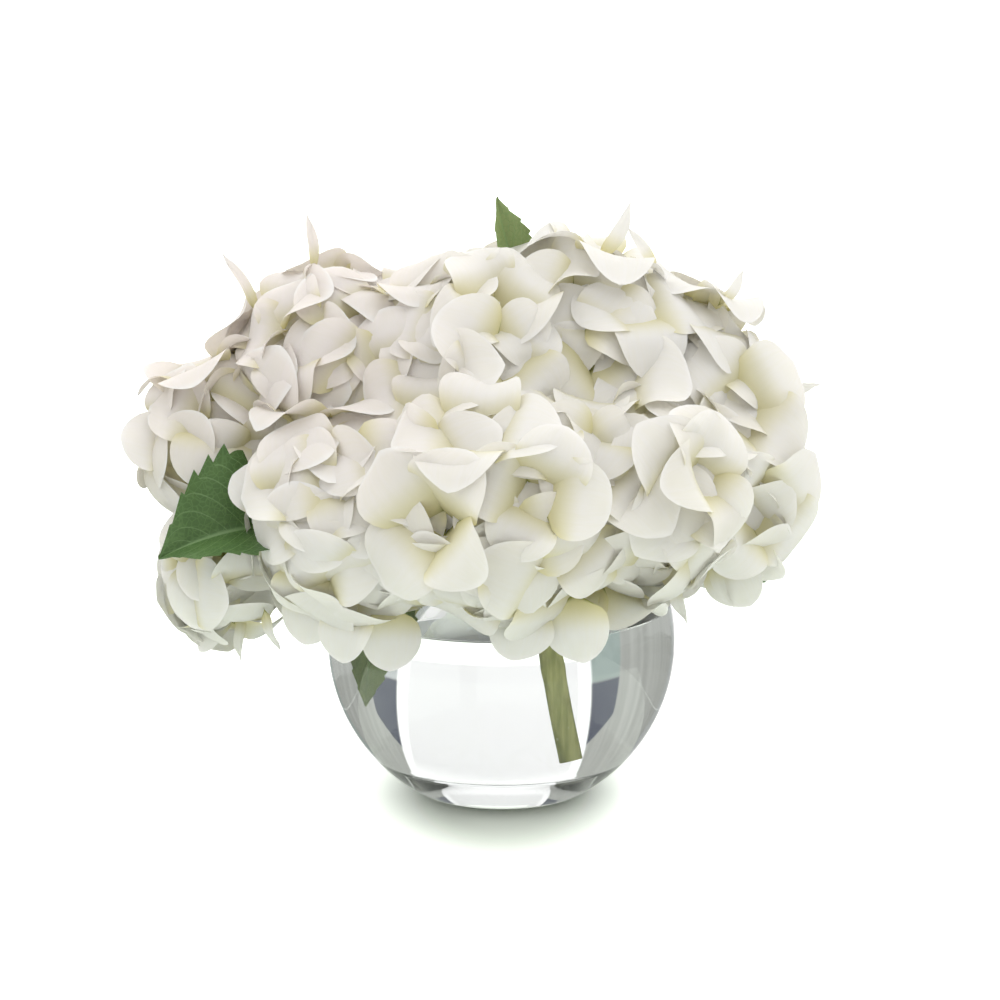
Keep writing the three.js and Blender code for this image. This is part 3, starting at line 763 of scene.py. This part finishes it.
def floret_tree():
    """Geometry Nodes: a floret on each point, facing as the point says, leaning and spun at random."""
    tree = bpy.data.node_groups.new("florets_on_points", "GeometryNodeTree")
    group_input(tree, "Points", "NodeSocketGeometry")
    group_input(tree, "Floret kinds", "NodeSocketCollection")
    group_input(tree, "Lean", "NodeSocketFloat", FLORET_LEAN)
    group_input(tree, "Seed", "NodeSocketInt", 1)
    group_input(tree, "Material", "NodeSocketMaterial")
    tree.interface.new_socket("Florets", in_out="OUTPUT", socket_type="NodeSocketGeometry")
    given = add(tree, "NodeGroupInput").outputs
    facing = add(tree, "GeometryNodeInputNamedAttribute", {"Name": "facing"}, **VECTORS).outputs[0]
    size = add(tree, "GeometryNodeInputNamedAttribute", {"Name": "size"}, **NUMBERS).outputs[0]
    upright = add(tree, "FunctionNodeAlignRotationToVector", {"Vector": facing}, axis="Z").outputs[0]
    back = add(tree, "ShaderNodeMath", {0: given["Lean"], 1: -1.0}, **TIMES).outputs[0]
    least = add(tree, "ShaderNodeCombineXYZ", {"X": back, "Y": back, "Z": -math.pi}).outputs[0]
    most_inputs = {"X": given["Lean"], "Y": given["Lean"], "Z": math.pi}
    most = add(tree, "ShaderNodeCombineXYZ", most_inputs).outputs[0]
    lean_range = {"Min": least, "Max": most, "Seed": given["Seed"]}
    lean = add(tree, "FunctionNodeRandomValue", lean_range, **VECTORS).outputs[0]
    turn = add(tree, "FunctionNodeEulerToRotation", {0: lean}).outputs[0]
    turned_inputs = {"Rotation": upright, "Rotate By": turn}
    rotation = add(tree, "FunctionNodeRotateRotation", turned_inputs, rotation_space="LOCAL").outputs[0]
    kinds_inputs = {"Collection": given["Floret kinds"], "Separate Children": True, "Reset Children": True}
    kinds = add(tree, "GeometryNodeCollectionInfo", kinds_inputs).outputs[0]
    any_kind = {4: 0, 5: FLORET_KINDS - 1, "Seed": given["Seed"]}
    pick = add(tree, "FunctionNodeRandomValue", any_kind, data_type="INT").outputs[2]
    placed_inputs = {
        "Points": given["Points"],
        "Instance": kinds,
        "Pick Instance": True,
        "Instance Index": pick,
        "Rotation": rotation,
        "Scale": size,
    }
    placed = add(tree, "GeometryNodeInstanceOnPoints", placed_inputs).outputs[0]
    shade = add(tree, "FunctionNodeRandomValue", {"Seed": given["Seed"]}, **NUMBERS).outputs[1]
    tint = {"Geometry": placed, "Name": "tint", "Value": shade}
    tinted = add(tree, "GeometryNodeStoreNamedAttribute", tint, domain="INSTANCE", **NUMBERS).outputs[0]
    whole = add(tree, "GeometryNodeRealizeInstances", {0: tinted}).outputs[0]
    cover = {"Geometry": whole, "Material": given["Material"]}
    covered = add(tree, "GeometryNodeSetMaterial", cover).outputs[0]
    add(tree, "NodeGroupOutput", {0: covered})
    return tree


def stalklet_tree():
    """Geometry Nodes: a thin stalklet from each point back to its bloom's hub, as reach says."""
    tree = bpy.data.node_groups.new("stalklets_to_hub", "GeometryNodeTree")
    group_input(tree, "Points", "NodeSocketGeometry")
    group_input(tree, "Stalklet", "NodeSocketObject")
    group_input(tree, "Material", "NodeSocketMaterial")
    tree.interface.new_socket("Stalklets", in_out="OUTPUT", socket_type="NodeSocketGeometry")
    given = add(tree, "NodeGroupInput").outputs
    reach = add(tree, "GeometryNodeInputNamedAttribute", {"Name": "reach"}, **VECTORS).outputs[0]
    upright = add(tree, "FunctionNodeAlignRotationToVector", {"Vector": reach}, axis="Z").outputs[0]
    length = add(tree, "ShaderNodeVectorMath", {0: reach}, operation="LENGTH").outputs["Value"]
    scale = add(tree, "ShaderNodeCombineXYZ", {"X": 1.0, "Y": 1.0, "Z": length}).outputs[0]
    own = add(tree, "GeometryNodeObjectInfo", {"Object": given["Stalklet"]}).outputs["Geometry"]
    placed_inputs = {"Points": given["Points"], "Instance": own, "Rotation": upright, "Scale": scale}
    placed = add(tree, "GeometryNodeInstanceOnPoints", placed_inputs).outputs[0]
    whole = add(tree, "GeometryNodeRealizeInstances", {0: placed}).outputs[0]
    cover = {"Geometry": whole, "Material": given["Material"]}
    covered = add(tree, "GeometryNodeSetMaterial", cover).outputs[0]
    add(tree, "NodeGroupOutput", {0: covered})
    return tree


def grown(name, tree, mesh, inputs):
    """Runs a Geometry Nodes tree on a mesh, and returns the result as a plain mesh object."""
    seed = bpy.data.objects.new(name + "_points", mesh)
    bpy.context.scene.collection.objects.link(seed)
    modifier = seed.modifiers.new("grow", "NODES")
    modifier.node_group = tree
    sockets = {s.name: s.identifier for s in tree.interface.items_tree if s.item_type == "SOCKET"}
    for key, value in inputs.items():
        modifier[sockets[key]] = value
    bpy.context.view_layer.update()
    ready = seed.evaluated_get(bpy.context.evaluated_depsgraph_get())
    result = bpy.data.meshes.new_from_object(ready)
    result.name = name
    bpy.data.objects.remove(seed)
    return bpy.data.objects.new(name, result)


def point_mesh(name, places, **vectors):
    """A mesh of loose points that carry how a floret faces, its size and other values."""
    mesh = bpy.data.meshes.new(name)
    mesh.from_pydata([tuple(place * MM) for place, _, _ in places], [], [])
    facing = mesh.attributes.new("facing", "FLOAT_VECTOR", "POINT")
    facing.data.foreach_set("vector", np.array([way for _, way, _ in places], np.float32).ravel())
    size = mesh.attributes.new("size", "FLOAT", "POINT")
    size.data.foreach_set("value", np.array([s for _, _, s in places], np.float32))
    for key, values in vectors.items():
        attribute = mesh.attributes.new(key, "FLOAT_VECTOR", "POINT")
        attribute.data.foreach_set("vector", np.array(values, np.float32).ravel())
    return mesh


def on_bowl(places):
    """Places with those in the bowl's wall or in the bowl moved out onto the glass."""
    middle = np.array([0, 0, BOWL_MIDDLE])
    away = places - middle
    distance = np.linalg.norm(away, axis=1)
    surface = BOWL_RADIUS + ON_GLASS
    inside = (distance < surface) & (places[:, 2] < RIM_TOP + ON_GLASS)
    pressed = GLASS_PRESS * (1 - np.exp((distance - surface) / GLASS_PRESS_DEPTH))
    laid = middle + away * ((surface - pressed) / distance)[:, None]
    return np.where(inside[:, None], laid, places)


def pressed_in(places):
    """Places with those out of the dome bent back, the further out the more."""
    level, way, _ = dome(places)
    over = np.maximum(level, 0)
    return places - way * (over - PROUD * (1 - np.exp(-over / PROUD)))[:, None]


def reshape(mesh, *rules):
    """Moves a mesh's vertices as each rule in turn says. A rule takes and gives places as rows."""
    places = np.empty(len(mesh.vertices) * 3)
    mesh.vertices.foreach_get("co", places)
    places = places.reshape(-1, 3) / MM
    for rule in rules:
        places = rule(places)
    mesh.vertices.foreach_set("co", (places * MM).ravel())
    mesh.update()


def stalklet():
    """A stalklet a metre long, which the tree shortens: five-sided and thin, a little thicker at the
    ends."""
    profile = [(0, 0), (0.75, 0), (0.55, 300), (0.55, 700), (0.8, 1000), (0, 1000)]
    vertices, faces = turned(profile, 5)
    return new_piece("stalklet", vertices, faces, None)


def make_blooms(petals, green):
    """Each bloom's florets and the stalklets that carry them."""
    kinds = bpy.data.collections.new("floret_kinds")
    for index in range(FLORET_KINDS):
        kinds.objects.link(floret(index))
    stick = stalklet()
    florets_on_points, stalklets_to_hub = floret_tree(), stalklet_tree()
    layers = [floret_places(*layer) for layer in LAYERS]
    for order, (name, (middle, radius)) in enumerate(BLOOMS.items()):
        places = [place for layer in layers for place in layer[name]]
        out = (Vector(middle) - CORE).normalized()
        hub = Vector(middle) - out * HUB_DEPTH * radius
        reach = [(hub - place) * MM for place, _, _ in places]
        settings = {"Floret kinds": kinds, "Lean": FLORET_LEAN, "Seed": order, "Material": petals}
        head = grown("florets_" + name, florets_on_points, point_mesh(name, places), settings)
        reshape(head.data, pressed_in, on_bowl)
        shown(head, "petals", "bloom_" + name)
        vertices, faces, uvs, sharp = stray_petals(name)
        if vertices:
            strays = new_piece("stray_petals_" + name, vertices, faces, petals, uvs, sharp)
            shown(strays, "petals", "bloom_" + name)
        settings = {"Stalklet": stick, "Material": green}
        ends = point_mesh(name, places, reach=reach)
        twigs = grown("stalklets_" + name, stalklets_to_hub, ends, settings)
        reshape(twigs.data, on_bowl)
        shown(twigs, "stalk", "bloom_" + name)
    for helper in [*kinds.objects, stick]:
        bpy.data.objects.remove(helper)
    bpy.data.collections.remove(kinds)


# ---------------------------------------------------------------- leaves and stems


def half_width(share, width):
    """Half the width of a leaf at a share of its length, without its teeth."""
    return width / 2 * np.sin(np.pi * share**0.8) ** 0.85 * (1 - 0.25 * share)


def leaf_blade(base, tip, up, width, curl, fold):
    """A leaf's blade: toothed edges, folded along the midrib and puffed between its side ribs."""
    base, tip = np.array(base, float), np.array(tip, float)
    line = tip - base
    across = np.cross(line, up)
    across /= np.linalg.norm(across)
    face = np.cross(across, line)
    face /= np.linalg.norm(face)
    rows, columns = LEAF_GRID
    shares, sides = np.linspace(0, 1, rows + 1), np.linspace(-1, 1, columns + 1)
    share, side = np.meshgrid(shares, sides, indexing="ij")
    inner = np.clip(share, 0.015, 0.992)
    tooth = (share * LEAF_TEETH) % 1
    edge = smooth_step(0.7, 1, np.abs(side))
    out = side * half_width(inner, width) * (1 + edge * (0.08 - 0.17 * tooth))
    lean = share + edge * 0.05 * (1 - share)
    ribs = np.abs(((share - RIB_SLANT * np.abs(side)) * LEAF_RIBS) % 1 - 0.5)
    puff = 0.5 * ribs * np.sin(np.pi * np.abs(side)) * width / 50
    wave = 1.4 * np.sin(share * 17 + side * 2) * np.abs(side) ** 3
    lift = 4 * curl * share * (1 - share) + fold * np.abs(out) + puff + wave * width / 60
    points = base + lean[..., None] * line + out[..., None] * across + lift[..., None] * face
    rim = (1 - np.abs(side) ** 6) * smooth_step(0, 0.03, share) * smooth_step(1, 0.97, share)
    grid = [(i, j) for i in range(rows + 1) for j in range(columns + 1)]
    uv = {(i, j): ((side[i, j] + 1) / 2, share[i, j]) for i, j in grid}
    return sheet(points * MM, rim, LEAF_THICKNESS * MM, uv)


def petiole_line(name, base, tip):
    """Points along a leaf's petiole, from its blade back to the stalk: the middles of the rings of
    vertices that the model's leaf has behind its blade."""
    back = (base - tip).normalized()
    behind = [v.co / MM for v in frame["nodes"][name].data.vertices]
    behind = [v for v in behind if (v - base).dot(back) > PETIOLE_START]
    rings = []
    for v in sorted(behind, key=lambda v: (v - base).length):
        if rings and (v - base).length - (rings[-1][-1] - base).length < PETIOLE_RING:
            rings[-1].append(v)
        else:
            rings.append([v])
    middles = [sum(ring, Vector()) / len(ring) for ring in rings if len(ring) > 3]
    return [base.lerp(tip, 0.06), base, *middles]


def smooth_line(points, steps):
    """Points along a smooth curve through the given ones, spaced as the model spaces them."""
    knots = [Vector(p) for p in points]
    knots = [2 * knots[0] - knots[1], *knots, 2 * knots[-1] - knots[-2]]
    line = []
    for i in range(1, len(knots) - 2):
        for step in range(steps):
            t = step / steps
            a, b, c, d = knots[i - 1 : i + 3]
            squared = (2 * a - 5 * b + 4 * c - d) * t**2
            cubed = (3 * b - a - 3 * c + d) * t**3
            line.append(0.5 * (2 * b + (c - a) * t + squared + cubed))
    return line + [knots[-2]]


def tube(line, radius_at, sides):
    """A closed round tube along a line. radius_at gives its radius at a share of its length."""
    rings = []
    reference = Vector((0, 1, 0))
    for i, place in enumerate(line):
        ahead = (line[min(i + 1, len(line) - 1)] - line[max(i - 1, 0)]).normalized()
        side = ahead.cross(reference).normalized()
        up = side.cross(ahead)
        reference = up
        radius = radius_at(i / (len(line) - 1))
        ring = []
        for j in range(sides):
            turn = 2 * math.pi * j / sides
            ring.append(place + radius * (math.cos(turn) * side + math.sin(turn) * up))
        rings.append(ring)
    vertices = [v for ring in rings for v in ring]
    faces = []
    for i in range(len(rings) - 1):
        for j in range(sides):
            k = (j + 1) % sides
            faces.append([i * sides + j, i * sides + k, (i + 1) * sides + k, (i + 1) * sides + j])
    for ring_start, order in ((0, -1), ((len(rings) - 1) * sides, 1)):
        centre = len(vertices)
        ring = rings[0] if order < 0 else rings[-1]
        vertices.append(sum(ring, Vector()) / sides)
        for j in range(sides):
            k = (j + 1) % sides
            faces.append([centre, ring_start + j, ring_start + k][::order])
    return np.array([tuple(v) for v in vertices]) * MM, faces


def make_stems(green):
    """The two cut stems: fibrous, slightly swollen at their nodes, cut straight across at the foot."""

    def radius_at(share):
        swelling = sum(math.exp(-(((share - place) / reach) ** 2)) for place, reach in STEM_NODES)
        return STEM_RADIUS * (STEM_WAIST + STEM_SWELLING * swelling)

    for name, path in STEMS.items():
        vertices, faces = tube(smooth_line(path, STEM_STEPS), radius_at, STEM_SIDES)
        shown(new_piece(name + "_bark", vertices, faces, green), "stem", name)


def make_leaves(dark_green, pale_green):
    """The leaves, with the petiole that carries each blade."""
    for name, (base, tip, up, width, curl, fold) in LEAVES.items():
        green = pale_green if name in PALE_LEAVES else dark_green
        vertices, faces, uvs, sharp = leaf_blade(base, tip, up, width, curl, fold)
        shown(new_piece(name + "_blade", vertices, faces, green, uvs, sharp), "leaf", name)
        line = smooth_line(petiole_line(name, Vector(base), Vector(tip)), PETIOLE_STEPS)
        vertices, faces = tube(line, lambda share: PETIOLE_RADIUS * (0.8 + 0.2 * share), PETIOLE_SIDES)
        uvs = [(0.5, 0.5)] * sum(map(len, faces))
        shown(new_piece(name + "_petiole", vertices, faces, green, uvs), "leaf", name)


# ---------------------------------------------------------------- the bowl


def turned_piece(name, stretches, materials):
    """A body turned round Z, with a material for each stretch of its section."""
    vertices, faces = turned(sum(stretches, []), TURNED_SEGMENTS)
    piece = new_piece(name, vertices, faces, None)
    for material in materials:
        piece.data.materials.append(material)
    first = [0] * (len(stretches[0]) - 1)
    slots = np.repeat(first + [1] * len(stretches[1]), TURNED_SEGMENTS)
    piece.data.polygons.foreach_set("material_index", slots)
    return piece


def make_bowl():
    """The glass and the water as fine turned bodies. Where they touch, the glass bends the light as
    glass under water does, and the water's own surface leaves it as it is."""
    glass = clear_material("blown_glass", GLASS_INDEX, GLASS_TINT)
    wet_glass = clear_material("blown_glass_under_water", GLASS_INDEX / WATER_INDEX, GLASS_TINT)
    water = clear_material("clear_water", WATER_INDEX, WATER_TINT)
    held_water = clear_material("clear_water_on_glass", 1.0, WATER_TINT)
    bowl = turned_piece("bowl_of_glass", bowl_profile(), (glass, wet_glass))
    shown(bowl, "bowl_glass", "glass_bowl")
    fill = turned_piece("water_in_bowl", water_profile(), (held_water, water))
    shown(fill, "water", "water")


# ---------------------------------------------------------------- the studio


def make_world():
    """White to the camera. For light and for what the glass bends: a white wall behind, a dark panel on
    each side of it, grey walls beyond them, a pale front and a bright ceiling."""
    world = bpy.data.worlds.new("studio")
    bpy.context.scene.world = world
    world.use_nodes = True
    tree = world.node_tree
    tree.nodes.clear()
    seen_from_bowl = add(tree, "ShaderNodeTexCoord").outputs["Generated"]
    way = add(tree, "ShaderNodeSeparateXYZ", {0: seen_from_bowl}).outputs
    radians = add(tree, "ShaderNodeMath", {0: way["X"], 1: way["Y"]}, operation="ARCTAN2").outputs[0]
    turn = add(tree, "ShaderNodeMath", {0: radians}, operation="DEGREES").outputs[0]
    radians = add(tree, "ShaderNodeMath", {0: way["Z"]}, operation="ARCSINE").outputs[0]
    rise = add(tree, "ShaderNodeMath", {0: radians}, operation="DEGREES").outputs[0]
    around = add(tree, "ShaderNodeMath", {0: turn}, operation="ABSOLUTE").outputs[0]
    bands = {"W": turn, "Scale": 0.35, "Detail": 3.0}
    streaks = add(tree, "ShaderNodeTexNoise", bands, noise_dimensions="1D").outputs[0]
    streak = add(tree, "ShaderNodeMapRange", {0: streaks, 1: 0.4, 2: 0.6}, **SMOOTH).outputs[0]
    grey = {0: streak, 6: linear("#ACAEA9"), 7: linear("#B9BBB6")}
    outer = add(tree, "ShaderNodeMix", grey, **COLOURS).outputs[2]
    in_front = add(tree, "ShaderNodeMapRange", {0: around, 1: FRONT[0], 2: FRONT[1]}, **SMOOTH).outputs[0]
    outer = add(tree, "ShaderNodeMix", {0: in_front, 6: outer, 7: FRONT_LIGHT}, **COLOURS).outputs[2]
    upper = {0: rise, 1: UPPER_WALL[0], 2: UPPER_WALL[1]}
    higher = add(tree, "ShaderNodeMapRange", upper, **SMOOTH).outputs[0]
    wall = {0: higher, 6: WALL_LIGHT, 7: WALL_EDGE_LIGHT}
    room = add(tree, "ShaderNodeMix", wall, **COLOURS).outputs[2]
    foot = {0: rise, 1: PANEL_FOOT[1], 2: PANEL_FOOT[0]}
    under = add(tree, "ShaderNodeMapRange", foot, **SMOOTH).outputs[0]
    foot = {0: rise, 1: PANEL_FOOT[0], 2: PANEL_FOOT[1]}
    over = add(tree, "ShaderNodeMapRange", foot, **SMOOTH).outputs[0]
    for side, plan in STUDIO_SIDES.items():
        aside = add(tree, "ShaderNodeMath", {0: turn, 1: side}, **TIMES).outputs[0]
        lean = {0: rise, 1: -plan["lean"], 2: aside}
        from_edge = add(tree, "ShaderNodeMath", lean, operation="MULTIPLY_ADD").outputs[0]
        start = plan["wall"] - WALL_EDGE
        edge = {0: from_edge, 1: start - BORDERS["bright"], 2: start + BORDERS["bright"]}
        bright = add(tree, "ShaderNodeMapRange", edge, **SMOOTH).outputs[0]
        room = add(tree, "ShaderNodeMix", {0: bright, 6: room, 7: WALL_EDGE_LIGHT}, **COLOURS).outputs[2]
        edge = {0: from_edge, 1: plan["wall"] - BORDERS["wall"], 2: plan["wall"] + BORDERS["wall"]}
        beyond = add(tree, "ShaderNodeMapRange", edge, **SMOOTH).outputs[0]
        edge = {0: aside, 1: plan["panel"] + BORDERS["panel"], 2: plan["panel"] - BORDERS["panel"]}
        within = add(tree, "ShaderNodeMapRange", edge, **SMOOTH).outputs[0]
        lowest = add(tree, "ShaderNodeMath", {0: under, 1: within}, **TIMES).outputs[0]
        lower = {0: lowest, 6: outer, 7: linear(plan["low"])}
        low = add(tree, "ShaderNodeMix", lower, **COLOURS).outputs[2]
        room = add(tree, "ShaderNodeMix", {0: beyond, 6: room, 7: low}, **COLOURS).outputs[2]
        fall = {0: aside, 1: plan["fall"], 2: rise}
        from_top = add(tree, "ShaderNodeMath", fall, operation="MULTIPLY_ADD").outputs[0]
        edge = {0: from_top, 1: plan["top"] + BORDERS["top"], 2: plan["top"] - BORDERS["top"]}
        beneath = add(tree, "ShaderNodeMapRange", edge, **SMOOTH).outputs[0]
        dark = beyond
        for part in (within, beneath, over):
            dark = add(tree, "ShaderNodeMath", {0: dark, 1: part}, **TIMES).outputs[0]
        panel = {0: dark, 6: room, 7: linear(PANEL_COLOUR)}
        room = add(tree, "ShaderNodeMix", panel, **COLOURS).outputs[2]
    ceiling = add(tree, "ShaderNodeMapRange", {0: rise, 1: CEILING[0], 2: CEILING[1]}, **SMOOTH).outputs[0]
    room = add(tree, "ShaderNodeMix", {0: ceiling, 6: room, 7: CEILING_LIGHT}, **COLOURS).outputs[2]
    studio = add(tree, "ShaderNodeBackground", {"Color": room, "Strength": 1.0}).outputs[0]
    plain = {"Color": linear("#FFFFFF"), "Strength": WHITE_SEEN}
    white = add(tree, "ShaderNodeBackground", plain).outputs[0]
    seen = add(tree, "ShaderNodeLightPath").outputs["Is Camera Ray"]
    shader = add(tree, "ShaderNodeMixShader", {0: seen, 1: studio, 2: white}).outputs[0]
    add(tree, "ShaderNodeOutputWorld", {"Surface": shader})


def add_light(name, place, size, power):
    """A large soft light, turned to the blooms."""
    light = bpy.data.lights.new(name, "AREA")
    light.shape = "DISK"
    light.size = size
    light.energy = power
    lamp = bpy.data.objects.new(name, light)
    lamp.location = place
    lamp.rotation_euler = (CORE * MM - Vector(place)).to_track_quat("-Z", "Y").to_euler()
    bpy.context.scene.collection.objects.link(lamp)
    return lamp


def make_floor():
    """The white sweep that the camera sees, and the table top that light and glass see: half a disc in
    front of the bowl, and a part behind it that is narrow halfway and wider at its far edge."""
    corners = [(x * SWEEP_HALF, y * SWEEP_HALF, 0) for x, y in ((-1, -1), (1, -1), (1, 1), (-1, 1))]
    white_paper_with_painted_shadow = paper_material("white_paper_with_painted_shadow", SWEEP_GLOW, PAINTED_SHADOW_REACH)
    sweep = new_piece("white_sweep", corners, [[0, 1, 2, 3]], white_paper_with_painted_shadow)
    for kind in ("diffuse", "glossy", "transmission", "shadow"):
        setattr(sweep, "visible_" + kind, False)
    neck, neck_place = TABLE_NECK
    ring = [(edge, TABLE_RADIUS) for edge in TABLE_EDGES]
    ring += [(neck, neck_place), (BASE_RADIUS * MM, TABLE_REAR)]
    for i in range(TABLE_STEPS + 1):
        turn = math.pi * i / TABLE_STEPS
        ring.append((TABLE_RADIUS * math.cos(turn), -TABLE_RADIUS * math.sin(turn)))
    ring += [(-BASE_RADIUS * MM, TABLE_REAR), (-neck, neck_place)]
    outline = [(x, y, -TABLE_DROP) for x, y in reversed(ring)]
    table_paper = paper_material("table_paper", TABLE_GLOW)
    table = new_piece("table_top", outline, [list(range(len(outline)))], table_paper)
    table.visible_camera = False
    for piece in (sweep, table):
        bpy.context.scene.collection.objects.link(piece)


def make_studio():
    """The floor, the light and the camera."""
    make_floor()
    add_light("key", KEY_PLACE, KEY_SIZE, KEY_POWER)
    for name, (place, power) in FILL_LIGHTS.items():
        fill = add_light(name, place, FILL_SIZE, power)
        fill.visible_glossy = False
        fill.visible_transmission = False
    camera_data = bpy.data.cameras.new("camera")
    camera_data.lens = CAMERA_LENS
    camera_data.sensor_width = SENSOR
    camera = bpy.data.objects.new("camera", camera_data)
    camera.location = CAMERA_PLACE
    camera.rotation_euler = (CAMERA_AIM - CAMERA_PLACE).to_track_quat("-Z", "Y").to_euler()
    bpy.context.scene.collection.objects.link(camera)
    bpy.context.scene.camera = camera
    bpy.context.scene.view_settings.view_transform = "Standard"


def cover_stalks(green):
    """The model's own stalks stay, in the colour of young wood."""
    for name, node in frame["nodes"].items():
        if name.startswith("stalk_"):
            node.data.materials.clear()
            node.data.materials.append(green)


# ---------------------------------------------------------------- assembly

make_world()
make_studio()
petals = petal_material()
leaf_green = leaf_material("hydrangea_leaf", "#3F5F30", "#64844A")
pale_green = leaf_material("pale_hydrangea_leaf", "#84965A", "#9DAE77")
stem_green = stalk_material("cut_green_stem", "#C3C57E", "#979D58", 500.0)
stalk_green = stalk_material("pale_green_stalk", "#C3C98C", "#A2AC68", 700.0)
make_bowl()
make_stems(stem_green)
make_leaves(leaf_green, pale_green)
make_blooms(petals, stalk_green)
cover_stalks(stalk_green)
